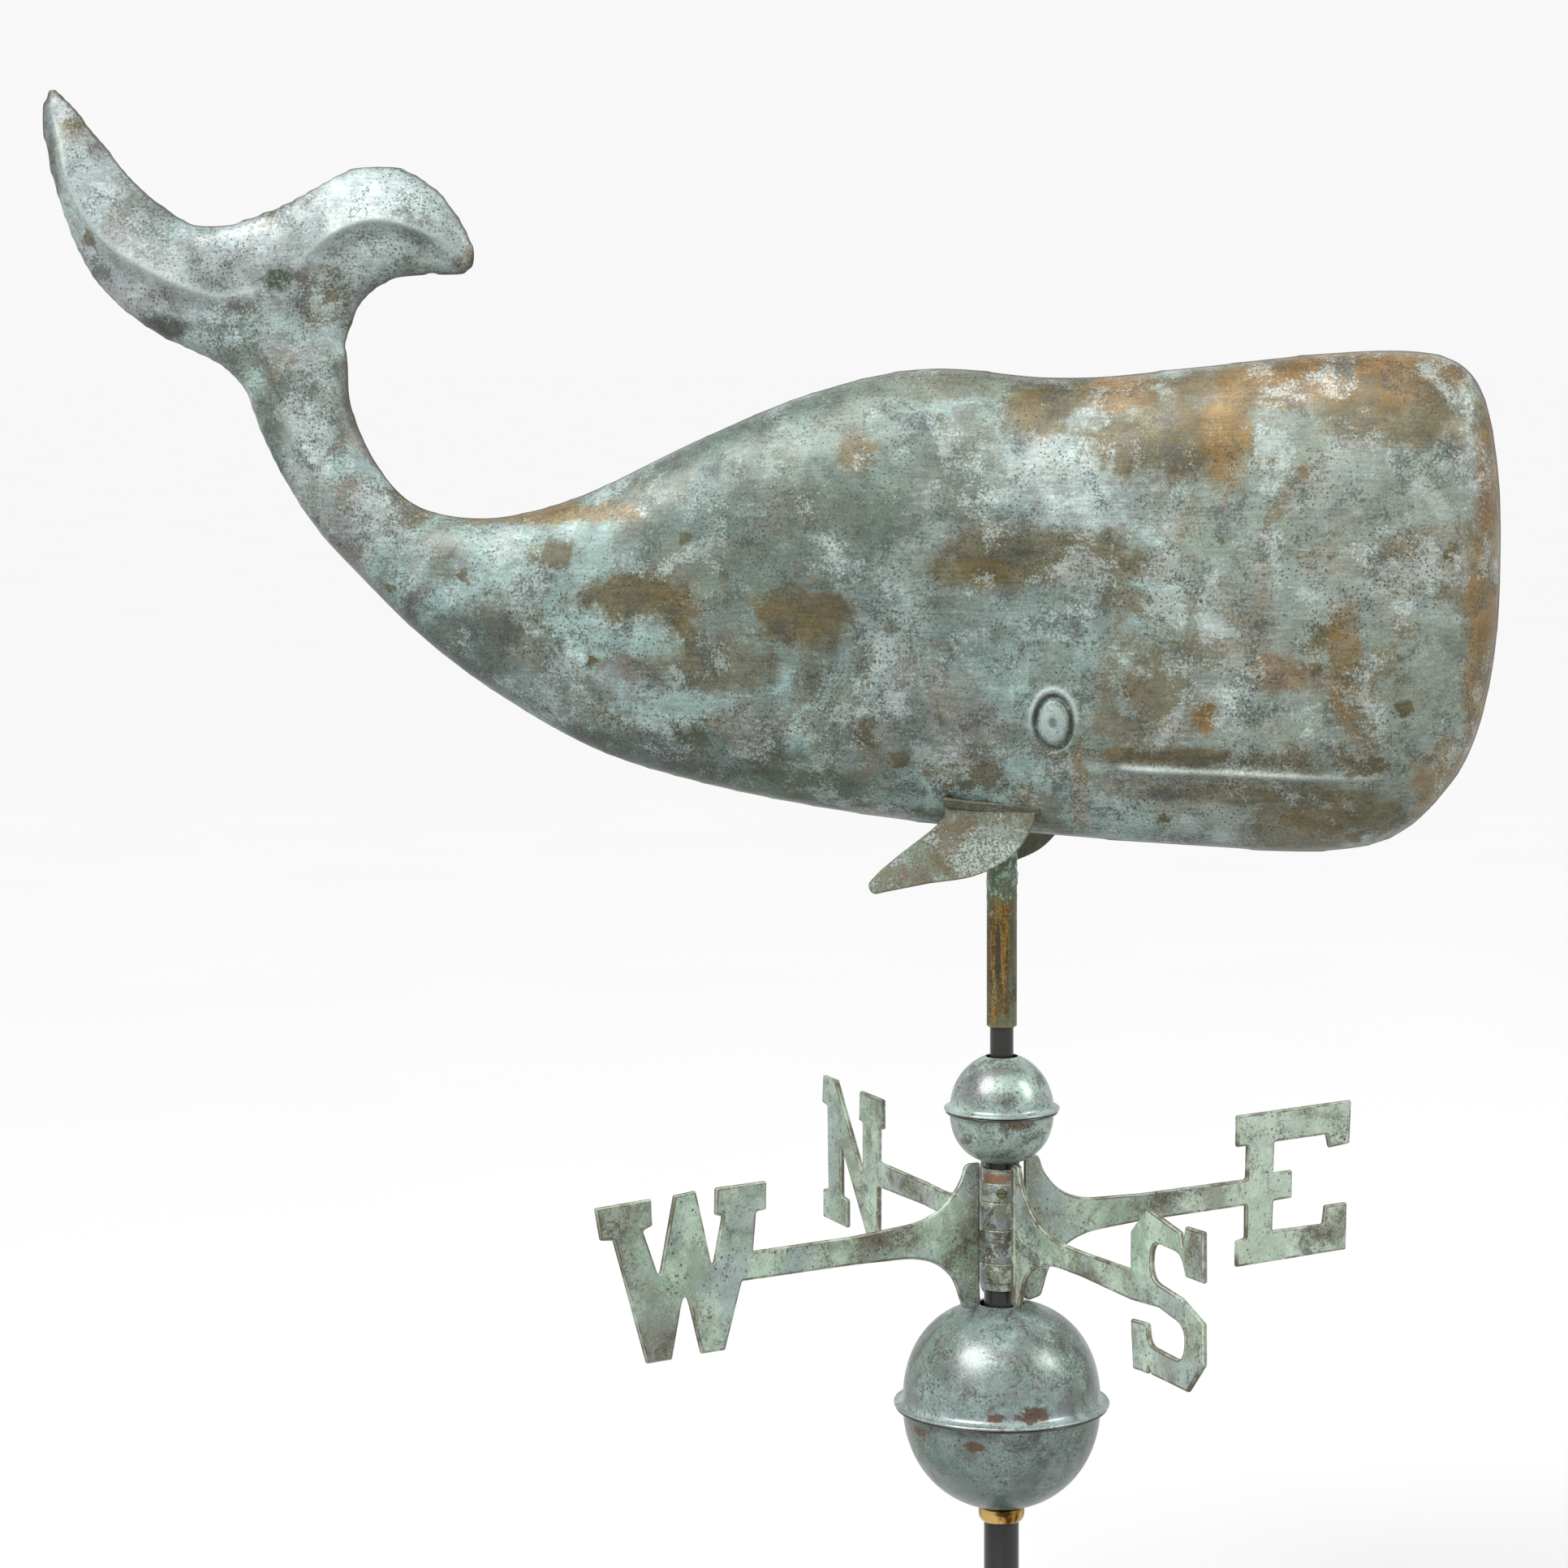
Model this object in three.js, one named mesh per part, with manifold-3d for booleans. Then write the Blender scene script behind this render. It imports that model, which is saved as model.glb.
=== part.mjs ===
// Whale weather vane: a hollow copper whale that turns on an upright rod, over a small ball,
// two pairs of compass arms and a large ball. Millimetres, +Z up, origin at the middle of the
// rod's foot. At rest the whale lies in the XZ plane with its nose towards +X.
import * as THREE from 'three';
import { mergeVertices } from 'three/addons/utils/BufferGeometryUtils.js';
import Module from 'manifold-3d';

const wasm = await Module();
wasm.setup();

// ---------- driving dimensions ----------

const GAP = 0.3; // clearance between pieces that touch
const SNAP = 0.01; // corners left by a cut are moved to this grid
const DEG = Math.PI / 180;

const LOWER_ROD_RADIUS = 9.525; // 3/4 inch steel
const LOWER_ROD_TOP = 418;
const UPPER_ROD_RADIUS = 6.35; // 1/2 inch steel
const UPPER_ROD_BOTTOM = 398;
const UPPER_ROD_TOP = 730;
const ROD_CHAMFER = 1;

const BEARING_BALL_RADIUS = 4.76; // 3/8 inch steel ball
const PLUG_LENGTH = 12;

const SLEEVE_OUTER = 8.1; // 5/8 inch brass tube
const SLEEVE_INNER = 6.75;
const SLEEVE_BOTTOM = 437.5;

const BALL_CENTRE_Z = UPPER_ROD_TOP + GAP + BEARING_BALL_RADIUS;
const PLUG_BOTTOM = BALL_CENTRE_Z + BEARING_BALL_RADIUS + GAP;
const SLEEVE_TOP = PLUG_BOTTOM + PLUG_LENGTH;

const COLLAR_RADIUS = 12.5;
const COLLAR_BOTTOM = 165;
const COLLAR_HEIGHT = 8.3;
const COLLAR_EDGE = 1.6;

const BALL_WALL = 0.9;
const RIM_THICKNESS = 1.5;
const LOWER_RIM_INSET = 0.8; // the lower bowl's rim is a little smaller, so the upper one laps it
// rimZ is the seam's height; a bowl's power is 2 for an ellipse and more for a fuller shoulder
const SMALL_BALL = {
  radius: 28, rim: 31.1, rimZ: 392, segments: 24, steps: 5,
  top: { depth: 30.7, power: 2, hole: 8.75 },
  bottom: { depth: 29.2, power: 2.3, hole: 10.2 },
};
const LARGE_BALL = {
  radius: 53.6, rim: 58.5, rimZ: 230.2, segments: 28, steps: 6,
  top: { depth: 56.3, power: 2.3, hole: 12.4 },
  bottom: { depth: 57.3, power: 2.1, hole: 10.2 },
};

const HUB_Z = 327.7; // middle of the compass hub, where the two pairs of arms meet
const HUB_SLEEVE_INNER = 9.85;
const HUB_SLEEVE_OUTER = 10.7;
const NS_SLEEVE_TOP = 33; // heights above and below HUB_Z
const EW_SLEEVE_BOTTOM = -33.5;
const KNUCKLE_INNER = 11;
const KNUCKLE_OUTER = 12;
const KNUCKLES = { // the stretch of hub that each arm wraps round
  north: [15.4, 25.5],
  south: [0.15, 15.1],
  west: [-18.1, -0.15],
  east: [-28.8, -18.4],
};
const EAST_AZIMUTH = 44; // degrees from +X towards +Y, letters as set
const NS_TURN = 81; // from the east arm to the north arm: the pairs are clamped separately
const PLATE_THICKNESS = 3;
const WEB_INNER_RADIUS = 15; // the webs pass outside the other pair's knuckles
const WEB_CORNER = 2;
const ROOT_INSET = 0.5; // the root that joins a web to its knuckle is this much shorter at each end

const SCREW_RADIUS = 2.5;
const SCREW_SLOT = 0.8;
const NS_SCREW = { length: 2.1, azimuth: 278, z: HUB_Z + 20.4 };
const EW_SCREW = { length: 2.1, azimuth: 98, z: HUB_Z - 23.6 };
const COLLAR_SCREW = { length: 2.4, azimuth: 98, z: COLLAR_BOTTOM + COLLAR_HEIGHT / 2 };

const SHELL_WALL = 0.9;
const SHELL_PROFILE_POWER = 2.6; // how flat the flanks are: 2 would be an ellipse
const BODY_GRID = { rowsPerStation: 2, columns: 8 };
const FLUKE_GRID = { rowsPerStation: 1, columns: 6 };

const BRACE_THICKNESS = 1.5;
const BRACE_LENGTH = 64;
const BELLY_BRACE_Z = 580;
const BACK_BRACE_Z = 700;

const FIN_THICKNESS = 1.2;
const FIN_TILT = 12; // degrees out from upright
const FIN_ROOT = { y: 22, z: 556.5 }; // where the blade meets the flank
const FIN_LIP = { x: -2, length: 50, height: 5.5, thickness: 2.4, tilt: -34, slope: -6.5 };
const LEFT_FIN_FORWARD = 11; // the left fin is soldered on a little further forward

// ---------- materials ----------

function finish(color, roughness, metalness) {
  return new THREE.MeshStandardMaterial({ color, roughness, metalness });
}
const whalePatina = () => finish(0x8aa39c, 0.5, 0.6);
const castPatina = () => finish(0x86a794, 0.55, 0.5);
const ballPatina = () => finish(0x7d9a8e, 0.4, 0.6);
const agedBrass = () => finish(0x7a6a42, 0.5, 0.8);
const brightBrass = () => finish(0xc9a04a, 0.25, 1);
const blackSteel = () => finish(0x1d1d20, 0.35, 0.7);
const brightSteel = () => finish(0xb8bcc0, 0.2, 1);

// ---------- helpers ----------

/** The geometry with corners closer than a tolerance joined, and triangles that vanish dropped. */
function welded(geometry, tolerance) {
  const bare = geometry.clone();
  bare.deleteAttribute('normal');
  bare.deleteAttribute('uv');
  const merged = mergeVertices(bare, tolerance);
  const corners = merged.index.array;
  const triangles = [];
  for (let i = 0; i < corners.length; i += 3) {
    const [a, b, c] = [corners[i], corners[i + 1], corners[i + 2]];
    if (a !== b && b !== c && c !== a) triangles.push(a, b, c);
  }
  merged.setIndex(triangles);
  return merged;
}

/** A closed three.js geometry as a solid. */
function toSolid(geometry) {
  const closed = welded(geometry, 1e-4);
  const mesh = new wasm.Mesh({
    numProp: 3,
    vertProperties: new Float32Array(closed.attributes.position.array),
    triVerts: new Uint32Array(closed.index.array),
  });
  return new wasm.Manifold(mesh);
}

function toGeometry(solid) {
  const { vertProperties, triVerts } = solid.getMesh();
  const snapped = vertProperties.map((value) => Math.round(value / SNAP) * SNAP);
  const geometry = new THREE.BufferGeometry();
  geometry.setAttribute('position', new THREE.BufferAttribute(snapped, 3));
  geometry.setIndex(new THREE.BufferAttribute(triVerts, 1));
  return welded(geometry, SNAP / 10);
}

/** The same geometry on the other side of the XZ plane. */
function mirrored(geometry) {
  const twin = geometry.clone().scale(1, -1, 1);
  const corners = twin.index.array;
  for (let i = 0; i < corners.length; i += 3) {
    [corners[i], corners[i + 1]] = [corners[i + 1], corners[i]];
  }
  return twin;
}

/** A round solid about Z from a closed outline of [radius, height] pairs, anticlockwise. */
function turned(outline, segments) {
  const points = outline.map(([radius, height]) => new THREE.Vector2(radius, height));
  const onAxis = outline[0][0] === 0;
  if (!onAxis) points.push(points[0].clone());
  return new THREE.LatheGeometry(points, segments).rotateX(90 * DEG);
}

function tube(inner, outer, bottom, top, segments = 24) {
  return turned([[inner, bottom], [outer, bottom], [outer, top], [inner, top]], segments);
}

function roundBar(radius, bottom, top, segments = 24) {
  const bar = new THREE.CylinderGeometry(radius, radius, top - bottom, segments);
  return bar.rotateX(90 * DEG).translate(0, 0, (bottom + top) / 2);
}

/** A cylinder that points outwards from the Z axis at an azimuth, from one radius to another. */
function radialPin(radius, from, to, azimuth, z) {
  const pin = new THREE.CylinderGeometry(radius, radius, to - from, 12);
  return pin.rotateZ(-90 * DEG).translate((from + to) / 2, 0, 0).rotateZ(azimuth * DEG).translate(0, 0, z);
}

function boxBetween([x0, y0, z0], [x1, y1, z1]) {
  const box = new THREE.BoxGeometry(x1 - x0, y1 - y0, z1 - z0);
  return box.translate((x0 + x1) / 2, (y0 + y1) / 2, (z0 + z1) / 2);
}

/** A plate of even thickness in the XZ plane, centred on it, from an outline of (x, z). */
function uprightPlate(shape, thickness, curveSegments = 6) {
  const plate = new THREE.ExtrudeGeometry(shape, { depth: thickness, bevelEnabled: false, curveSegments });
  return plate.rotateX(90 * DEG).translate(0, thickness / 2, 0);
}

const group = new THREE.Group();

function addPiece(name, geometry, material) {
  const mesh = new THREE.Mesh(geometry, material);
  mesh.name = name;
  group.add(mesh);
}

// ---------- rods, collar and set screws ----------

function lowerRod() {
  const socket = UPPER_ROD_RADIUS + GAP;
  const outline = [
    [0, 0],
    [LOWER_ROD_RADIUS - ROD_CHAMFER, 0],
    [LOWER_ROD_RADIUS, ROD_CHAMFER],
    [LOWER_ROD_RADIUS, LOWER_ROD_TOP - ROD_CHAMFER],
    [LOWER_ROD_RADIUS - ROD_CHAMFER, LOWER_ROD_TOP],
    [socket, LOWER_ROD_TOP],
    [socket, UPPER_ROD_BOTTOM - GAP],
    [0, UPPER_ROD_BOTTOM - GAP],
  ];
  return toGeometry(toSolid(turned(outline, 24)));
}

function upperRod() {
  const outline = [
    [0, UPPER_ROD_BOTTOM],
    [UPPER_ROD_RADIUS, UPPER_ROD_BOTTOM],
    [UPPER_ROD_RADIUS, UPPER_ROD_TOP - ROD_CHAMFER],
    [UPPER_ROD_RADIUS - ROD_CHAMFER, UPPER_ROD_TOP],
    [0, UPPER_ROD_TOP],
  ];
  return toGeometry(toSolid(turned(outline, 24)));
}

/** The clearance hole for a set screw, from the rod's axis out past a reach. */
function screwHole(screw, reach) {
  return toSolid(radialPin(SCREW_RADIUS + GAP, 0, reach, screw.azimuth, screw.z));
}

function rodCollar() {
  const inner = LOWER_ROD_RADIUS + GAP;
  const top = COLLAR_BOTTOM + COLLAR_HEIGHT;
  const outline = [
    [inner, COLLAR_BOTTOM],
    [COLLAR_RADIUS - COLLAR_EDGE, COLLAR_BOTTOM],
    [COLLAR_RADIUS, COLLAR_BOTTOM + COLLAR_EDGE],
    [COLLAR_RADIUS, top - COLLAR_EDGE],
    [COLLAR_RADIUS - COLLAR_EDGE, top],
    [inner, top],
  ];
  const hole = screwHole(COLLAR_SCREW, 2 * COLLAR_RADIUS);
  return toGeometry(toSolid(turned(outline, 24)).subtract(hole));
}

/** A slotted grub screw whose inner end bears on the lower rod. */
function grubScrew(screw) {
  const from = LOWER_ROD_RADIUS + GAP;
  const to = from + screw.length;
  const body = radialPin(SCREW_RADIUS, from, to, screw.azimuth, screw.z);
  const slot = boxBetween(
    [to - SCREW_SLOT, -2 * SCREW_RADIUS, -SCREW_SLOT / 2],
    [to + 1, 2 * SCREW_RADIUS, SCREW_SLOT / 2],
  );
  slot.rotateZ(screw.azimuth * DEG).translate(0, 0, screw.z);
  return toGeometry(toSolid(body).subtract(toSolid(slot)));
}

addPiece('lower_rod', lowerRod(), blackSteel());
addPiece('upper_rod', upperRod(), blackSteel());
addPiece('rod_collar', rodCollar(), brightBrass());
addPiece('collar_set_screw', grubScrew(COLLAR_SCREW), brightSteel());
addPiece('ns_set_screw', grubScrew(NS_SCREW), agedBrass());
addPiece('ew_set_screw', grubScrew(EW_SCREW), agedBrass());

// ---------- the two balls: spun bowls with a flat rim, one over the other ----------

/** Half outline of a bowl that opens downwards: its flat rim, then up over the crown and back. */
function bowlOutline({ radius, steps }, { depth, power, hole }, rim) {
  const wall = (reach, height, foot) => {
    const from = Math.asin((foot / height) ** (power / 2));
    const to = Math.acos((hole / reach) ** (power / 2));
    return Array.from({ length: steps + 1 }, (_, i) => {
      const angle = from + ((to - from) * i) / steps;
      return [reach * Math.cos(angle) ** (2 / power), height * Math.sin(angle) ** (2 / power)];
    });
  };
  return [
    [rim, GAP / 2],
    [rim, RIM_THICKNESS],
    ...wall(radius, depth, RIM_THICKNESS),
    ...wall(radius - BALL_WALL, depth - BALL_WALL, GAP / 2).reverse(),
  ];
}

function topBowl(ball) {
  const bowl = turned(bowlOutline(ball, ball.top, ball.rim), ball.segments);
  return toGeometry(toSolid(bowl.translate(0, 0, ball.rimZ)));
}

function bottomBowl(ball) {
  const outline = bowlOutline(ball, ball.bottom, ball.rim - LOWER_RIM_INSET);
  const bowl = turned(outline, ball.segments).rotateX(180 * DEG);
  return toGeometry(toSolid(bowl.translate(0, 0, ball.rimZ)));
}

addPiece('small_ball_top_shell', topBowl(SMALL_BALL), ballPatina());
addPiece('small_ball_bottom_shell', bottomBowl(SMALL_BALL), ballPatina());
addPiece('large_ball_top_shell', topBowl(LARGE_BALL), ballPatina());
addPiece('large_ball_bottom_shell', bottomBowl(LARGE_BALL), ballPatina());

// ---------- compass hub: two sleeves, four cast arms ----------

function hubSleeve(bottom, top, screw) {
  const sleeve = tube(HUB_SLEEVE_INNER, HUB_SLEEVE_OUTER, HUB_Z + bottom, HUB_Z + top);
  return toGeometry(toSolid(sleeve).subtract(screwHole(screw, 2 * KNUCKLE_OUTER)));
}

addPiece('ns_hub_sleeve', hubSleeve(GAP / 2, NS_SLEEVE_TOP, NS_SCREW), agedBrass());
addPiece('ew_hub_sleeve', hubSleeve(EW_SLEEVE_BOTTOM, -GAP / 2, EW_SCREW), agedBrass());

/** Webs beside the hub with the start of the arm, as radius and height from HUB_Z. */
const BROAD_WEB = {
  top: [[18, 37], [24.5, 36.5], [28, 26], [40, 14.5], [56, 8.5], [95, 6.8]],
  bottom: [[95, -8.6], [56, -10.3], [44.5, -14], [34.5, -21.5], [29, -31], [25, -39.5], [18, -41]],
};
const SLIM_WEB = {
  top: [[18, 37], [21.5, 36], [26, 24], [42, 11], [62, 5.5], [95, 6.2]],
  bottom: [[95, -7.4], [62, -8.4], [43.5, -13], [30, -22], [27, -29.5], [22, -38], [18, -40]],
};

/** Each letter is an outline from the arm's top edge round to its bottom edge. */
const LETTERS = {
  east: [
    [168, 6], [168.5, 25], [161, 25], [161, 43], [244, 43], [243, 18], [228, 17], [226, 25], [188, 25],
    [187.5, 7.5], [201, 7.5], [201, -8.7], [187.5, -8.7], [187, -25.6], [224, -26.5], [225.5, -16],
    [241.5, -16], [241, -43.5], [161, -43.5], [161, -28.5], [167.5, -27.5], [167.5, -9],
  ],
  west: [
    [158.5, 7], [156.5, 27.5], [150.5, 28], [150, 43], [181, 43], [181.5, 29], [177, 27.5], [183, 0.5],
    [193, 43], [206, 42], [215, 0], [224.5, 26], [219, 28], [219.5, 42], [252.5, 41], [249.5, 24],
    [242, 23], [223, -43.5], [208, -43.5], [199.5, -5], [190.5, -43], [176, -43], [165.5, -8],
  ],
  north: [
    [156.5, 6], [156, 25.5], [151, 25.5], [151, 43], [182, 43], [183, 25.5], [178, 25], [178.5, -6],
    [216, 43.5], [234, 43.5], [235.5, 27], [228, 26], [227, -23.5], [234.5, -25], [234.5, -42],
    [200.5, -42], [200.5, -25], [208.5, -24.5], [208.5, 6], [171, -43], [157, -43], [156.5, -9],
  ],
  south: [
    [148, 8.5], [148, 28], [166, 43], [200, 38], [202, 32], [205.5, 43], [222.5, 43], [223, 17],
    [205, 16.5], [196, 26], [178, 25], [170, 17], [175, 9], [200, 4.5], [223, -2], [223.5, -24],
    [207.5, -41], [170, -40.5], [168, -38], [165, -41], [151, -42.5], [148.5, -17], [168.5, -15.5],
    [178, -24], [199, -25], [206, -16], [200, -9], [178, -5], [148, -7.5],
  ],
};

function armOutline(letter, web) {
  const at = ([radius, height]) => new THREE.Vector2(radius, height);
  const shape = new THREE.Shape();
  shape.moveTo(WEB_INNER_RADIUS, web.bottom.at(-1)[1] + WEB_CORNER);
  shape.lineTo(WEB_INNER_RADIUS, web.top[0][1] - WEB_CORNER);
  shape.lineTo(...web.top[0]);
  shape.splineThru(web.top.slice(1).map(at));
  letter.forEach((corner) => shape.lineTo(...corner));
  shape.lineTo(...web.bottom[0]);
  shape.splineThru(web.bottom.slice(1).map(at));
  return shape;
}

function compassArm(direction, web, azimuth, screw) {
  const [bottom, top] = KNUCKLES[direction];
  const plate = uprightPlate(armOutline(LETTERS[direction], web), PLATE_THICKNESS, 3);
  const half = PLATE_THICKNESS / 2;
  const root = boxBetween(
    [KNUCKLE_INNER, -half, bottom + ROOT_INSET],
    [WEB_INNER_RADIUS + 2, half, top - ROOT_INSET],
  );
  const knuckle = tube(KNUCKLE_INNER, KNUCKLE_OUTER, bottom, top);
  const [plateSolid, rootSolid, knuckleSolid] = [plate, root, knuckle].map((piece) => {
    piece.rotateZ(azimuth * DEG).translate(0, 0, HUB_Z);
    return toSolid(piece);
  });
  const bore = toSolid(roundBar(KNUCKLE_INNER, HUB_Z + bottom - 5, HUB_Z + top + 5));
  const joined = plateSolid.add(rootSolid).subtract(bore).add(knuckleSolid);
  return toGeometry(joined.subtract(screwHole(screw, 2 * KNUCKLE_OUTER)));
}

const NORTH_AZIMUTH = EAST_AZIMUTH + NS_TURN;
addPiece('north_arm', compassArm('north', SLIM_WEB, NORTH_AZIMUTH, NS_SCREW), castPatina());
addPiece('south_arm', compassArm('south', SLIM_WEB, NORTH_AZIMUTH + 180, NS_SCREW), castPatina());
addPiece('east_arm', compassArm('east', BROAD_WEB, EAST_AZIMUTH, EW_SCREW), castPatina());
addPiece('west_arm', compassArm('west', BROAD_WEB, EAST_AZIMUTH + 180, EW_SCREW), castPatina());

// ---------- whale: two hollow stamped halves ----------

/**
 * Stations along a swollen half: lower edge x and z, upper edge x and z, and how far the flank
 * swells sideways. The body runs from the root of the flukes to the nose.
 */
const BODY = [
  [-418, 832, -378, 836, 0],
  [-424, 790, -364, 806, 12],
  [-406, 746, -359, 772, 14],
  [-382, 706, -346, 740, 16],
  [-354, 676, -326, 717, 18],
  [-318, 642, -300, 709, 21],
  [-276, 612, -270, 709.5, 25],
  [-222, 583, -227, 721.5, 30],
  [-164, 566, -167, 749.5, 35],
  [-100, 554, -104, 775, 39],
  [-36, 546, -40, 788.5, 41],
  [33, 541, 33, 783, 42],
  [104, 537, 100, 788.5, 43],
  [168, 535.5, 162, 795, 43],
  [206, 543.5, 210, 797, 41.5],
  [232, 567, 237, 791, 35],
  [247, 593, 250, 774, 26],
  [256, 630, 257, 742, 15],
  [260, 670, 260, 706, 0],
];

/** The fluke that rises behind, from its tip to its root inside the tail. */
const NEAR_FLUKE = [
  [-532, 940, -528, 944, 0],
  [-533, 924, -523, 943, 3.5],
  [-529, 900, -515, 935, 6],
  [-521, 872, -505, 922, 8.5],
  [-509, 845, -493, 908, 10],
  [-493, 826, -481, 893, 11],
  [-472, 810, -464, 879, 12],
  [-448, 800, -446, 868, 12.5],
  [-425, 797, -426, 868, 11.5],
  [-400, 798, -402, 874, 0],
];
/** The fluke that droops forward, from its root inside the tail to its tip. */
const FAR_FLUKE = [
  [-432, 808, -452, 868, 0],
  [-404, 806, -425, 869, 11],
  [-366, 806, -388, 881, 12],
  [-350, 828, -358, 897, 11],
  [-333, 838.5, -333, 899, 10],
  [-316, 839.5, -313, 890, 8.5],
  [-301, 839.5, -297, 873, 6.5],
  [-291, 840, -288, 857, 4],
  [-286, 844, -285, 849, 0],
];

/** The face of a swollen half towards -Y, and its outward normal, at a place on the half. */
function swollenFace(stations) {
  const edge = (column) => new THREE.CatmullRomCurve3(
    stations.map((station) => new THREE.Vector3(station[column], station[4], station[column + 1])),
    false,
    'catmullrom',
  );
  const lower = edge(0);
  const upper = edge(2);
  const point = (along, across) => {
    const from = lower.getPoint(along);
    const to = upper.getPoint(along);
    const profile = Math.sqrt(Math.max(0, 1 - Math.abs(2 * across - 1) ** SHELL_PROFILE_POWER));
    const place = from.clone().lerp(to, across);
    return new THREE.Vector3(place.x, -Math.max(0, from.y) * profile, place.z);
  };
  const normal = (along, across) => {
    const step = 0.002;
    const span = (value) => [Math.max(0, value - step), Math.min(1, value + step)];
    const [a0, a1] = span(along);
    const [c0, c1] = span(across);
    const inside = THREE.MathUtils.clamp(across, step, 1 - step);
    const alongway = point(a1, inside).sub(point(a0, inside));
    const crossway = point(along, c1).sub(point(along, c0));
    return alongway.cross(crossway).normalize();
  };
  return { point, normal };
}

/** A swollen half as a solid, moved in or out by an offset, that reaches just past the seam plane. */
function swollenSolid(stations, { rowsPerStation, columns }, offset) {
  const face = swollenFace(stations);
  const rows = (stations.length - 1) * rowsPerStation;
  const pastSeam = 2;
  const positions = [];
  for (const isFace of [true, false]) {
    for (let i = 0; i <= rows; i += 1) {
      for (let j = 0; j <= columns; j += 1) {
        const across = (1 - Math.cos((Math.PI * j) / columns)) / 2;
        const place = face.point(i / rows, across);
        place.addScaledVector(face.normal(i / rows, across), offset);
        positions.push(place.x, isFace ? Math.min(place.y, pastSeam / 2) : pastSeam, place.z);
      }
    }
  }
  const layer = (rows + 1) * (columns + 1);
  const at = (i, j, level) => level * layer + i * (columns + 1) + j;
  const index = [];
  const quad = (a, b, c, d) => index.push(a, b, c, a, c, d);
  for (let i = 0; i < rows; i += 1) {
    for (let j = 0; j < columns; j += 1) {
      quad(at(i, j, 0), at(i + 1, j, 0), at(i + 1, j + 1, 0), at(i, j + 1, 0));
      quad(at(i, j, 1), at(i, j + 1, 1), at(i + 1, j + 1, 1), at(i + 1, j, 1));
    }
    quad(at(i, 0, 0), at(i, 0, 1), at(i + 1, 0, 1), at(i + 1, 0, 0));
    quad(at(i, columns, 0), at(i + 1, columns, 0), at(i + 1, columns, 1), at(i, columns, 1));
  }
  for (let j = 0; j < columns; j += 1) {
    quad(at(0, j, 0), at(0, j + 1, 0), at(0, j + 1, 1), at(0, j, 1));
    quad(at(rows, j, 0), at(rows, j, 1), at(rows, j + 1, 1), at(rows, j + 1, 0));
  }
  const geometry = new THREE.BufferGeometry();
  geometry.setAttribute('position', new THREE.Float32BufferAttribute(positions, 3));
  geometry.setIndex(index);
  return toSolid(geometry);
}

/** Body and flukes as one solid on the -Y side, moved in or out by an offset. */
function whaleHalf(offset) {
  const body = swollenSolid(BODY, BODY_GRID, offset);
  const nearFluke = swollenSolid(NEAR_FLUKE, FLUKE_GRID, offset);
  const farFluke = swollenSolid(FAR_FLUKE, FLUKE_GRID, offset);
  return body.add(nearFluke).add(farFluke);
}

function whaleShell() {
  const rightSide = toSolid(boxBetween([-600, -100, 400], [400, -GAP / 2, 1000]));
  const sleeveHole = toSolid(roundBar(SLEEVE_OUTER + GAP, SLEEVE_BOTTOM, SLEEVE_TOP));
  return toGeometry(whaleHalf(0).intersect(rightSide).subtract(whaleHalf(-SHELL_WALL)).subtract(sleeveHole));
}

const rightShell = whaleShell();
addPiece('right_shell', rightShell, whalePatina());
addPiece('left_shell', mirrored(rightShell), whalePatina());

// ---------- fins ----------

/** Blade outlines as x and z from the middle of the root: down the leading edge, back up to it. */
const FIN_LEADING_EDGE = [[21, -5], [16, -17], [6, -28], [-11, -36], [-34, -39.5], [-56, -44.5]];
const FIN_TRAILING_EDGE = [[-62, -45.5], [-65, -42], [-62, -35], [-52, -26], [-36, -13], [-27, -2]];
const FIN_TOP = [[-30, 8], [24, 8]]; // runs on into the flank, where it is cut off

/** Sheet fin with a folded lip along its root, laid against the right flank. */
function flankFin(forward) {
  const spline = (points) => points.map(([x, z]) => new THREE.Vector2(x, z));
  const shape = new THREE.Shape();
  shape.moveTo(...FIN_TOP[0]);
  shape.lineTo(...FIN_TOP[1]);
  shape.lineTo(...FIN_LEADING_EDGE[0]);
  shape.splineThru(spline(FIN_LEADING_EDGE.slice(1)));
  shape.splineThru(spline(FIN_TRAILING_EDGE));
  const place = (piece, tilt) => {
    piece.rotateX(-tilt * DEG).translate(forward, -FIN_ROOT.y, FIN_ROOT.z);
    return toSolid(piece);
  };
  const blade = place(uprightPlate(shape, FIN_THICKNESS, 4), FIN_TILT);
  const lip = new THREE.BoxGeometry(FIN_LIP.length, FIN_LIP.thickness, FIN_LIP.height);
  lip.translate(0, 0, FIN_LIP.height / 2 - 1).rotateY(-FIN_LIP.slope * DEG).translate(FIN_LIP.x, 0, 0);
  return toGeometry(blade.add(place(lip, FIN_LIP.tilt)).subtract(whaleHalf(GAP)));
}

addPiece('right_fin', flankFin(0), whalePatina());
addPiece('left_fin', mirrored(flankFin(LEFT_FIN_FORWARD)), whalePatina());

// ---------- pivot: sleeve over the upper rod, its plug on the bearing ball, and braces ----------

const bearingBall = new THREE.SphereGeometry(BEARING_BALL_RADIUS, 16, 10).translate(0, 0, BALL_CENTRE_Z);
const plugRadius = SLEEVE_INNER - GAP;
const plug = roundBar(plugRadius, PLUG_BOTTOM, SLEEVE_TOP, 20);

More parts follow.
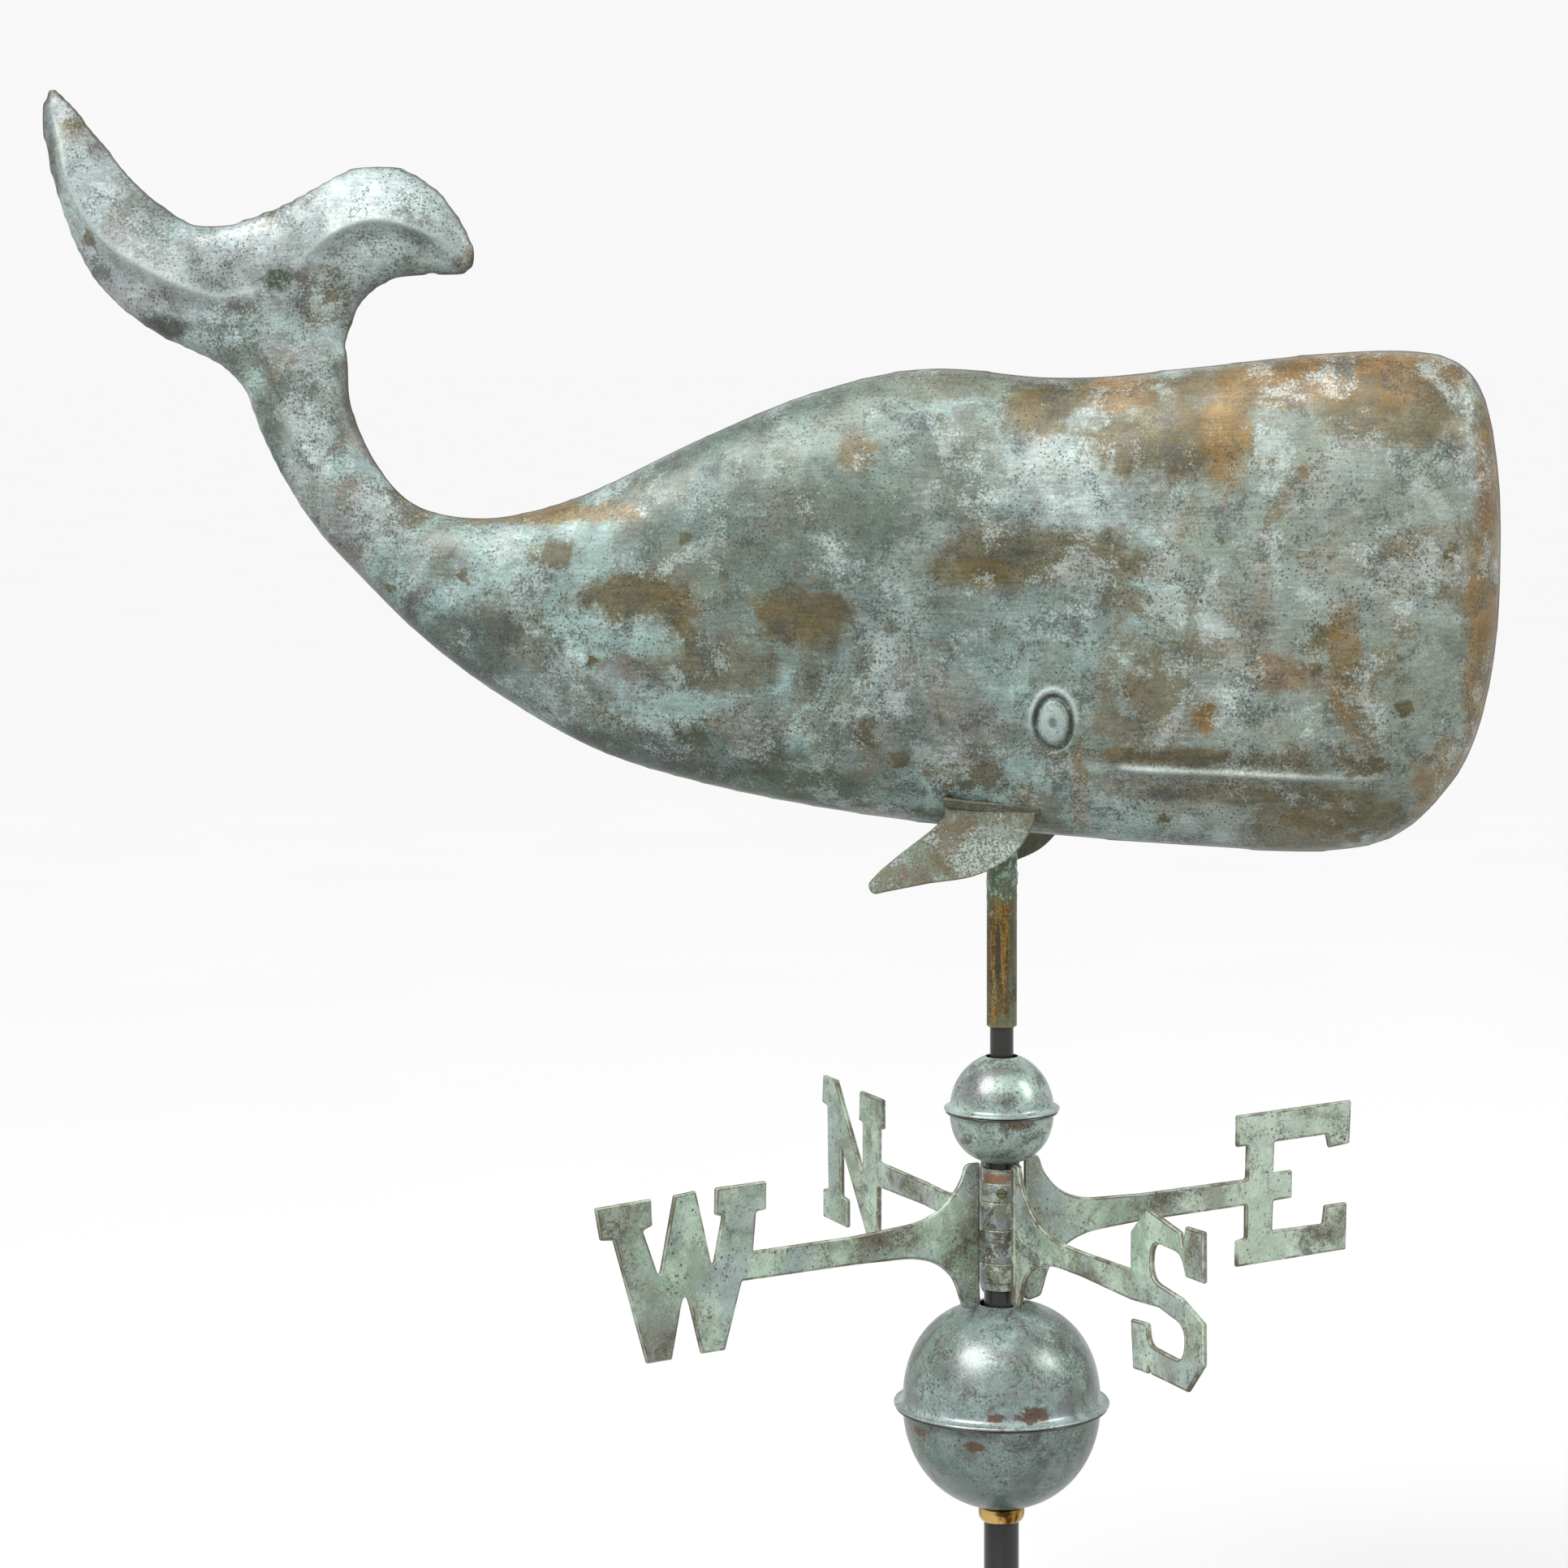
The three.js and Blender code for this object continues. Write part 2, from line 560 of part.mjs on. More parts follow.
/** A flat plate inside the whale, cut to the inside of both halves and bored for the sleeve. */
function brace(z) {
  const half = BRACE_LENGTH / 2;
  const plate = toSolid(boxBetween([-half, -60, z], [half, 60, z + BRACE_THICKNESS]));
  const rightRoom = whaleHalf(-SHELL_WALL - GAP);
  const leftRoom = toSolid(mirrored(toGeometry(rightRoom)));
  const bore = toSolid(roundBar(SLEEVE_OUTER + GAP, z - 5, z + 5));
  return toGeometry(plate.intersect(rightRoom.add(leftRoom)).subtract(bore));
}

addPiece('bearing_ball', bearingBall, brightSteel());
addPiece('sleeve_plug', plug, agedBrass());
addPiece('pivot_sleeve', tube(SLEEVE_INNER, SLEEVE_OUTER, SLEEVE_BOTTOM, SLEEVE_TOP), agedBrass());
addPiece('belly_brace', brace(BELLY_BRACE_Z), agedBrass());
addPiece('back_brace', brace(BACK_BRACE_Z), agedBrass());

export default group;
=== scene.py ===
"""Verdigris whale weather vane: fine shells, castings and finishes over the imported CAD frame.

Outlines are in millimetres in the frame of the vane: Z up, origin at the foot of the rod, whale in
the XZ plane with its nose towards +X. Pieces are made in metres.
"""

import math

import bmesh
import bpy
import numpy as np
from mathutils import Matrix, Vector, geometry, noise


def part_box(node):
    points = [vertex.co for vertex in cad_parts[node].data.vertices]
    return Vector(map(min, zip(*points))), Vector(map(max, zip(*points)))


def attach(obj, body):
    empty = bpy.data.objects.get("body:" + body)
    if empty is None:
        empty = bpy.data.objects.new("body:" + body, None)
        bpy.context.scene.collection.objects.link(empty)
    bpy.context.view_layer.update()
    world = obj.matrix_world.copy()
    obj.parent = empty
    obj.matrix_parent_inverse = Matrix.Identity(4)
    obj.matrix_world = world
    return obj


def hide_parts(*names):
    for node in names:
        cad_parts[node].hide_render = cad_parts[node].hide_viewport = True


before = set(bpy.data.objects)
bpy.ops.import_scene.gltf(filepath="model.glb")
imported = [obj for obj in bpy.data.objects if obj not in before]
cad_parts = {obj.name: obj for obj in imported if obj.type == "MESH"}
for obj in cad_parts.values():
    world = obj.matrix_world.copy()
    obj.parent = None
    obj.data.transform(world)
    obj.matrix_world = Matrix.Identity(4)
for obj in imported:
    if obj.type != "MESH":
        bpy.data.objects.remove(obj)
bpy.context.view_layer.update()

MM = 0.001

# ---------- driving dimensions, in mm ----------

GAP = 0.3  # between pieces that touch
NEAR_AXIS = 0.01  # how near to its axis a solid bar's faces come

SHELL_WALL = 0.9
SHELL_PROFILE_POWER = 2.6  # how flat the flanks are: 2 would be an ellipse
SHELL_VOXEL = 3.8
SEAM_HALF_GAP = 0.15
SEAM_BEAD = 0.7  # how far the closed seam stands proud
RELIEF_SPAN = (0.5, 7)  # from the seam plane: where the relief begins, and where it is full
SHELL_MIDDLE_Z = 600  # between the belly and the back
SLEEVE_HOLE = 8.6

BALL_WALL = 0.9
RIM_THICKNESS = 1.5
HUB_Z = 327.7
EAST_AZIMUTH = 44
NS_TURN = 81
PLATE_THICKNESS = 3
PLATE_CHAMFER = 1.1
WEB_INNER_RADIUS = 15
KNUCKLE_INNER = 11
KNUCKLE_OUTER = 12
HUB_SLEEVE_INNER = 9.85

# Each half of a ball: its depth, power (2 for an ellipse, more for a fuller shoulder), hole, rim and flare.
SMALL_BALL = {"radius": 28, "rim_z": 392, "top": (30.7, 2, 8.75, 31.1, 2.6),
              "bottom": (29.2, 2.3, 10.2, 30.3, 1.2)}
LARGE_BALL = {"radius": 53.6, "rim_z": 230.2, "top": (56.3, 2.3, 12.4, 58.5, 4.2),
              "bottom": (57.3, 2.1, 10.2, 57.7, 1.8)}


# ---------- curves and outlines ----------

SMOOTH = 99  # the radius of a corner that is only a stop on a curve


def smooth_curve(points, per_span):
    """Points along a uniform Catmull-Rom curve through the given ones."""
    knots = np.asarray(points, float)
    before = np.vstack([2 * knots[0] - knots[1], knots[:-1]])
    after = np.vstack([knots[1:], 2 * knots[-1] - knots[-2]])
    out = []
    for i in range(len(knots) - 1):
        a, b, c, d = before[i], knots[i], knots[i + 1], after[i + 1]
        for t in np.arange(per_span) / per_span:
            out.append(b + 0.5 * t * (c - a + t * (2 * a - 5 * b + 4 * c - d + t * (3 * (b - c) + d - a))))
    out.append(knots[-1])
    return np.array(out)


def bend(start, corner, end, steps):
    """Places and shares along a curve from start to end that turns at a corner."""
    shares = np.linspace(0, 1, steps + 1)
    return [((1 - t) ** 2 * start + 2 * t * (1 - t) * corner + t * t * end, t) for t in shares]


def filleted(corners, steps=4):
    """A closed outline with each corner (x, y, radius) rounded to its radius, as far as there is room."""
    out = []
    for i, (x, y, radius) in enumerate(corners):
        here = np.array([x, y], float)
        before = np.array(corners[i - 1][:2], float) - here
        after = np.array(corners[(i + 1) % len(corners)][:2], float) - here
        room = 0.48 * min(np.linalg.norm(before), np.linalg.norm(after))
        before, after = before / np.linalg.norm(before), after / np.linalg.norm(after)
        half_angle = math.acos(float(np.clip(before @ after, -1, 1))) / 2
        reach = min(room, radius / max(math.tan(half_angle), 1e-3))
        if radius <= 0 or half_angle > 1.5:
            out.append(here)
            continue
        out += [place for place, _ in bend(here + before * reach, here, here + after * reach, steps)]
    return np.array(out)


def resampled(loop, spacing):
    """A closed outline with points about a spacing apart, its corners kept."""
    out = []
    for a, b in zip(loop, np.roll(loop, -1, axis=0)):
        count = max(1, round(float(np.linalg.norm(b - a)) / spacing))
        out.extend(a + (b - a) * t for t in np.arange(count) / count)
    return np.array(out)


def line_distance(places, line):
    """For each place: distance to an open polyline, side (+1 to the left of it) and share along it."""
    places, line = np.asarray(places, float), np.asarray(line, float)
    lengths = np.linalg.norm(np.diff(line, axis=0), axis=1)
    starts = np.concatenate([[0], np.cumsum(lengths)])
    best = np.full(len(places), 1e9)
    side, share = np.ones(len(places)), np.zeros(len(places))
    for a, b, length, start in zip(line[:-1], line[1:], lengths, starts):
        along = (b - a) / length
        offset = places - a
        reach = np.clip(offset @ along, 0, length)
        apart = offset - reach[:, None] * along
        distance = np.linalg.norm(apart, axis=1)
        nearer = distance < best
        cross = along[0] * offset[:, 1] - along[1] * offset[:, 0]
        best = np.where(nearer, distance, best)
        side = np.where(nearer, np.sign(cross), side)
        share = np.where(nearer, (start + reach) / starts[-1], share)
    return best, side, share


def inside(places, loop):
    """True for each place inside a closed outline."""
    x, y = places[:, 0], places[:, 1]
    result = np.zeros(len(places), bool)
    for (ax, ay), (bx, by) in zip(loop, np.roll(loop, -1, axis=0)):
        if ay == by:
            continue
        crosses = (ay > y) != (by > y)
        result ^= crosses & (x < (bx - ax) * (y - ay) / (by - ay) + ax)
    return result


def smoothstep(value, low, high):
    t = np.clip((value - low) / (high - low), 0, 1)
    return t * t * (3 - 2 * t)


# ---------- chunks: (points in mm, faces, edge wear from 0 to 1 at each point) ----------


def turned(outline, segments=96):
    """A closed outline of (radius, height, wear) swept about the Z axis."""
    rows = np.array(outline, float)
    angles = np.linspace(0, 2 * math.pi, segments, endpoint=False)
    count = len(rows)
    points = [
        (radius * math.cos(a), radius * math.sin(a), height) for a in angles for radius, height, _ in rows
    ]
    wear = np.tile(rows[:, 2], segments)
    faces = []
    for i in range(segments):
        here, there = i * count, (i + 1) % segments * count
        for j in range(count):
            k = (j + 1) % count
            faces.append((here + j, there + j, there + k, here + k))
    return np.array(points), faces, wear


def soft_profile(corners, steps=3):
    """A closed (radius, height) outline with rounded corners, which carry the wear."""
    out = []
    for i, (radius, height, rounding) in enumerate(corners):
        if rounding <= 0:
            out.append((radius, height, 0.0))
            continue
        here = np.array([radius, height], float)
        before = np.array(corners[i - 1][:2], float) - here
        after = np.array(corners[(i + 1) % len(corners)][:2], float) - here
        reach = min(rounding, 0.48 * np.linalg.norm(before), 0.48 * np.linalg.norm(after))
        start = here + before / np.linalg.norm(before) * reach
        end = here + after / np.linalg.norm(after) * reach
        out += [(*place, 4 * t * (1 - t) * 0.7 + 0.3) for place, t in bend(start, here, end, steps)]
    return out


def tube(inner, outer, bottom, top, edge=0.4, segments=96):
    corners = [(inner, bottom, edge), (outer, bottom, edge), (outer, top, edge), (inner, top, edge)]
    return turned(soft_profile(corners), segments)


def bar(radius, bottom, top, edge, segments=96):
    corners = [(NEAR_AXIS, bottom, 0), (radius, bottom, edge), (radius, top, edge), (NEAR_AXIS, top, 0)]
    return turned(soft_profile(corners), segments)


def plate(outline, thickness, chamfer, spacing=4.0):
    """A flat plate in the XZ plane with rounded edges, from a closed anticlockwise outline."""
    loop = resampled(outline, spacing / 2)
    count = len(loop)
    tangent = np.roll(loop, -1, axis=0) - np.roll(loop, 1, axis=0)
    tangent /= np.linalg.norm(tangent, axis=1)[:, None]
    outward = np.stack([tangent[:, 1], -tangent[:, 0]], axis=1)
    half = thickness / 2
    section = [(1, half, 0.75), (0.35, half - 0.28 * chamfer, 1), (0, half - chamfer, 0.8)]
    section += [(inset, -y, wear) for inset, y, wear in reversed(section)]
    points, wear = [], []
    for inset, y, edge in section:
        ring = loop - outward * inset * chamfer
        points.append(np.stack([ring[:, 0], np.full(count, y), ring[:, 1]], axis=1))
        wear.append(np.full(count, edge))
    faces = []
    for level in range(len(section) - 1):
        here, there = level * count, (level + 1) * count
        for i in range(count):
            j = (i + 1) % count
            faces.append((here + i, there + i, there + j, here + j))
    rim = loop - outward * chamfer
    inner = np.vstack([rim - outward * chamfer, lattice(loop, spacing)])
    closed = np.vstack([loop, loop[:1]])
    clear = line_distance(inner, closed)[0] > 1.8 * chamfer
    inner = inner[inside(inner, loop) & clear]
    places = [Vector(p) for p in np.vstack([rim, inner])]
    edges = [(i, (i + 1) % count) for i in range(count)]
    made, _, triangles, origins, _, _ = geometry.delaunay_2d_cdt(places, edges, [], 1, 1e-4)
    for y, level, flip in ((half, 0, False), (-half, len(section) - 1, True)):
        index = {}
        extra = []
        for i, (place, origin) in enumerate(zip(made, origins)):
            old = min(origin) if origin else count
            if old < count:
                index[i] = level * count + old
            else:
                index[i] = sum(map(len, points)) + len(extra)
                extra.append((place[0], y, place[1]))
        for a, b, c in triangles:
            corners = (index[a], index[b], index[c])
            faces.append(corners if not flip else corners[::-1])
        if extra:
            points.append(np.array(extra))
            wear.append(np.zeros(len(extra)))
    return np.vstack(points), faces, np.concatenate(wear)


def lattice(loop, spacing):
    """A triangular lattice of places over the box of an outline."""
    low, high = loop.min(axis=0), loop.max(axis=0)
    rows = np.arange(low[1], high[1], spacing * 0.87)
    out = []
    for i, y in enumerate(rows):
        x = np.arange(low[0] + (i % 2) * spacing / 2, high[0], spacing)
        out.append(np.stack([x, np.full(len(x), y)], axis=1))
    return np.vstack(out)


def moved(chunk, matrix):
    points, faces, wear = chunk
    turn = np.array(matrix.to_3x3())
    return points @ turn.T + np.array(matrix.translation), faces, wear


def turn_z(degrees, height=0.0):
    return Matrix.Translation((0, 0, height)) @ Matrix.Rotation(math.radians(degrees), 4, "Z")


# ---------- pieces ----------


def linked(name, data):
    """A new object in the scene."""
    made = bpy.data.objects.new(name, data)
    bpy.context.scene.collection.objects.link(made)
    return made


def piece(name, chunks, material, body, stands_for, sharp=35):
    """One named mesh object from chunks, riding on a CAD body in place of a CAD node."""
    points, faces, wear, start = [], [], [], 0
    for chunk_points, chunk_faces, chunk_wear in chunks:
        points.append(chunk_points)
        faces += [tuple(start + i for i in face) for face in chunk_faces]
        wear.append(chunk_wear)
        start += len(chunk_points)
    mesh = bpy.data.meshes.new(name)
    mesh.from_pydata((np.vstack(points) * MM).tolist(), [], faces)
    mesh.attributes.new("edge_wear", "FLOAT", "POINT").data.foreach_set("value", np.concatenate(wear))
    return shown(name, mesh, material, body, stands_for, sharp)


def shown(name, mesh, material, body, stands_for, sharp=35):
    mesh.validate()
    outward_normals(mesh)
    mesh.shade_smooth()
    mesh.set_sharp_from_angle(angle=math.radians(sharp))
    mesh.materials.append(material)
    made = linked(name, mesh)
    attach(made, body)
    if stands_for:
        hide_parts(stands_for)
    return made


def outward_normals(mesh):
    work = bmesh.new()
    work.from_mesh(mesh)
    bmesh.ops.recalc_face_normals(work, faces=work.faces)
    work.to_mesh(mesh)
    work.free()


def round_node(name):
    """Radius, bottom and top of a round CAD node about the Z axis, in mm."""
    low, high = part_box(name)
    return high[0] / MM, low[2] / MM, high[2] / MM


# ---------- materials ----------

UPRIGHT_LIGHT = 1.85  # how strongly the studio lights an upright surface, against plain white


def seen(red, green, blue):
    """The paint that looks like a colour of 0 to 255 on an upright surface in this studio."""
    def linear(value):
        value /= 255
        return value / 12.92 if value <= 0.04045 else ((value + 0.055) / 1.055) ** 2.4

    return *(linear(value) / UPRIGHT_LIGHT for value in (red, green, blue)), 1.0


class Finish:
    """A node material put together a layer at a time, with colour as the colour so far."""

    def __init__(self, name):
        self.colour = None
        self.material = bpy.data.materials.new(name)
        self.material.use_nodes = True
        self.tree = self.material.node_tree
        self.tree.nodes.clear()
        self.place = self.add("ShaderNodeTexCoord").outputs["Object"]

    def add(self, kind, settings=(), **inputs):
        node = self.tree.nodes.new(kind)
        for key, value in dict(settings).items():
            setattr(node, key, value)
        for key, value in inputs.items():
            self.feed(node.inputs[key.replace("_", " ")], value)
        return node

    def feed(self, socket, value):
        if isinstance(value, bpy.types.NodeSocket):
            self.tree.links.new(value, socket)
        else:
            socket.default_value = value

    def calc(self, operation, *values):
        node = self.add("ShaderNodeMath", {"operation": operation})
        for socket, value in zip(node.inputs, values):
            self.feed(socket, value)
        return node.outputs[0]

    def mapped(self, stretch, shift=(0, 0, 0)):
        return self.add("ShaderNodeMapping", Vector=self.place, Scale=stretch, Location=shift).outputs[0]

    def cloud(self, scale, detail=5.0, rough=0.55, twist=0.0, stretch=(1, 1, 1), shift=0.0):
        """Fractal noise around 0.5, with scale in features per metre."""
        place = self.mapped(stretch, (shift, shift, shift))
        node = self.add(
            "ShaderNodeTexNoise", Vector=place, Scale=scale, Detail=detail, Roughness=rough, Distortion=twist
        )
        return node.outputs["Fac"]

    def mottle(self, scale, low, high, fine=0.25, twist=0.5, stretch=(1, 1, 1), shift=0.0):
        """Cloudy areas with stippled borders."""
        broad = self.cloud(scale, 8, 0.68, twist, stretch, shift)
        stipple = self.cloud(STIPPLE, 3, 0.7, shift=shift + 1)
        return self.mask(self.calc("MULTIPLY_ADD", stipple, fine, self.times(broad, 1 - fine)), low, high)

    def spots(self, scale, size, share, shift=0.0):
        """Round spots of uneven size: 1 at the middle of a share of the cells."""
        wander = self.add("ShaderNodeTexNoise", Vector=self.place, Scale=scale * 3, Detail=4.0)
        place = self.mapped((1, 1, 1), (shift, shift, shift))
        ragged = self.add("ShaderNodeVectorMath", {"operation": "MULTIPLY_ADD"})
        for socket, value in zip(ragged.inputs, (wander.outputs["Color"], (0.5 / scale,) * 3, place)):
            self.feed(socket, value)
        cells = self.add("ShaderNodeTexVoronoi", Vector=ragged.outputs[0], Scale=scale, Randomness=1.0)
        chosen = self.add("ShaderNodeSeparateColor", Color=cells.outputs["Color"])
        reach = self.calc("DIVIDE", cells.outputs["Distance"], self.spread(chosen.outputs[1], 0.5, 1, 0, 1))
        within = self.mask(reach, size, size * 0.7)
        return self.times(within, self.mask(chosen.outputs[0], share, share - 0.02))

    def pits(self, scale, size, shift=0.0):
        """Round specks: 1 at the middle of some cells."""
        place = self.mapped((1, 1, 1), (shift, shift, shift))
        cells = self.add("ShaderNodeTexVoronoi", Vector=place, Scale=scale, Randomness=1.0)
        return self.mask(cells.outputs["Distance"], size, size * 0.35)

    def mask(self, value, low, high):
        """0 below low and 1 above high, eased. With high under low it runs the other way."""
        node = self.add("ShaderNodeMapRange", {"interpolation_type": "SMOOTHSTEP"}, Value=value)
        swapped = high < low
        for key, number in (("From Min", min(low, high)), ("From Max", max(low, high))):
            node.inputs[key].default_value = number
        node.inputs["To Min"].default_value = 1.0 if swapped else 0.0
        node.inputs["To Max"].default_value = 0.0 if swapped else 1.0
        return node.outputs[0]

    def spread(self, value, low, high, start=0.3, end=0.7):
        """A value's range start..end carried to low..high."""
        node = self.add("ShaderNodeMapRange", Value=value)
        for key, number in zip(("From Min", "From Max", "To Min", "To Max"), (start, end, low, high)):
            node.inputs[key].default_value = number
        return node.outputs[0]

    def blend(self, factor, under, over, mode="MIX"):
        node = self.add("ShaderNodeMix", {"data_type": "RGBA", "blend_type": mode, "clamp_factor": True})
        self.feed(node.inputs[0], factor)
        self.feed(node.inputs[6], under)
        self.feed(node.inputs[7], over)
        return node.outputs[2]

    def patch(self, centre, size, ragged, edge=0.25, shift=0.0):
        """1 inside an ellipsoid about a place in mm, with a ragged border."""
        scale = [1 / (MM * s) for s in size]
        place = self.mapped(scale, [-c * MM * k for c, k in zip(centre, scale)])
        length = self.add("ShaderNodeVectorMath", {"operation": "LENGTH"}, Vector=place).outputs["Value"]
        wander = self.cloud(2.2 / (MM * max(size[0], size[2])), 8, 0.72, shift=shift)
        rough = self.calc("MULTIPLY_ADD", wander, ragged, -ragged / 2)
        return self.mask(self.calc("ADD", length, rough), 1 + edge, 1 - edge)

    def base(self, cover, under, over):
        """The first colour: one tone over another."""
        self.colour = self.blend(cover, under, over)

    def coat(self, cover, tone, share=1.0):
        """Lays a tone over the colour so far, up to a share, where it covers."""
        self.colour = self.blend(self.times(cover, share), self.colour, tone)

    def shade(self, value, low, high, start=0.3, end=0.7):
        """Darkens or lightens the colour so far, by low..high, as a value runs from start to end."""
        grey = self.grey(self.spread(value, low, high, start, end))
        self.colour = self.blend(1.0, self.colour, grey, "MULTIPLY")

    def grain(self):
        """The fine grain of every patina."""
        return self.cloud(STIPPLE, 4, 0.75, shift=1)

    def marked(self, attribute):
        """A share from 0 to 1 stored at the points of the mesh."""
        return self.add("ShaderNodeAttribute", {"attribute_name": attribute}).outputs["Fac"]

    def wear(self):
        return self.marked("edge_wear")

    def height(self):
        """Height above the rod's foot, in metres."""
        return self.add("ShaderNodeSeparateXYZ", Vector=self.place).outputs["Z"]

    def along(self):
        """Distance from the rod towards the whale's nose, in metres."""
        return self.add("ShaderNodeSeparateXYZ", Vector=self.place).outputs["X"]

    def grey(self, value):
        return self.add("ShaderNodeCombineColor", Red=value, Green=value, Blue=value).outputs[0]

    def times(self, *values):
        product = values[0]
        for value in values[1:]:
            product = self.calc("MULTIPLY", product, value)
        return product

    def shader(self, roughness, metallic, bumps, **constants):
        """The closing shader. bumps are (height, strength, distance in mm) from coarse to fine."""
        normal = None
        for height, strength, distance in bumps:
            bump = self.add("ShaderNodeBump", Height=height, Strength=strength, Distance=distance * MM)
            if normal is not None:
                self.feed(bump.inputs["Normal"], normal)
            normal = bump.outputs[0]
        shader = self.add("ShaderNodeBsdfPrincipled", Base_Color=self.colour, Roughness=roughness,
                          Metallic=metallic, **constants)
        if normal is not None:
            self.feed(shader.inputs["Normal"], normal)
        self.add("ShaderNodeOutputMaterial", Surface=shader.outputs[0])
        return self.material


STIPPLE = 750  # features per metre in the grain of every patina
STAIN_SHIFT = 0.01  # gives each stain a border of its own

PALE = seen(190, 204, 201)
ICE = seen(148, 175, 169)
BLUE_GREY = seen(126, 142, 137)
SAGE = seen(100, 120, 110)
LILAC = seen(134, 132, 128)
WARM_GREY = seen(140, 138, 124)
FILM = seen(110, 105, 80)
BRONZE = seen(100, 82, 26)
OLIVE = seen(64, 62, 30)
OCHRE = seen(138, 104, 36)
RUST = seen(138, 102, 46)
MOSS = seen(58, 76, 42)
SLATE = seen(64, 74, 68)
SOOT = seen(42, 42, 36)
DARK_BRONZE = seen(74, 66, 46)
BRASS = seen(255, 214, 130)
BROWN_BRASS = seen(84, 64, 30)
GOLD_BRASS = seen(146, 116, 56)

# Stains on the whale's right side, with a painted highlight and painted shade on the tail's stem: x, y
# and z of the middle, half width and half height, all in mm, share of the tone, and tone.
STAIN_DEPTH = 60
WHALE_STAINS_AND_STEM_SHADING = [
    (48, -38, 736, 46, 40, 0.6, PALE), (20, -40, 640, 40, 34, 0.5, ICE),
    # The first two here are a painted highlight along the tail's stem and painted shade along its left edge.
    (-380, -8, 746, 15, 50, 0.6, PALE), (-402, -8, 728, 9, 44, 0.6, SLATE),
    (-424, -8, 838, 50, 18, 0.4, LILAC), (-60, -20, 782, 120, 12, 0.6, FILM),
    (-110, -34, 752, 100, 30, 0.7, SAGE), (-330, -10, 862, 60, 22, 0.5, PALE),
    (-300, -14, 640, 46, 20, 0.6, SLATE), (-190, -20, 584, 70, 14, 0.65, SLATE),
    (-60, -40, 684, 90, 50, 0.55, SAGE), (176, -28, 784, 66, 15, 0.85, RUST),
    (214, -28, 764, 44, 16, 0.75, BRONZE), (88, -34, 754, 40, 24, 0.85, BRONZE),
    (62, -34, 778, 20, 11, 0.8, RUST), (122, -34, 758, 12, 30, 0.7, OCHRE),
    (255, -8, 736, 7, 40, 0.8, RUST), (252, -12, 640, 9, 66, 0.75, OCHRE),
    (234, -30, 572, 16, 24, 0.6, OCHRE), (184, -42, 640, 9, 34, 0.65, OCHRE),
    (150, -42, 632, 20, 10, 0.6, RUST), (112, -42, 609, 6, 8, 0.9, OCHRE),
    (24, -40, 692, 58, 15, 0.9, FILM), (-10, -40, 684, 26, 9, 0.7, BRONZE),
    (24, -30, 768, 22, 13, 0.85, BRONZE), (-72, -36, 745, 11, 10, 0.85, BRONZE),
    (-100, -36, 660, 26, 18, 0.8, BRONZE), (-192, -30, 668, 34, 13, 0.85, BRONZE),
    (-148, -30, 632, 44, 13, 0.8, FILM), (92, -42, 588, 46, 5, 0.75, BRONZE),
    (140, -42, 568, 62, 5, 0.6, BRONZE), (46, -38, 566, 5, 26, 0.55, OCHRE),
    (190, -38, 556, 40, 9, 0.7, BRONZE), (-20, -20, 548, 40, 10, 0.8, MOSS),
    (-120, -24, 566, 80, 12, 0.6, MOSS), (-322, -12, 735, 12, 30, 0.8, OCHRE),
    (-250, -20, 712, 54, 7, 0.75, OCHRE), (-238, -24, 690, 14, 8, 0.8, BRONZE),
    (-395, -12, 838, 8, 6, 0.9, MOSS), (-289, -6, 847, 8, 6, 0.9, BRONZE),
    (-470, -8, 812, 34, 6, 0.8, SLATE), (-528, -6, 900, 6, 40, 0.6, SLATE),
]


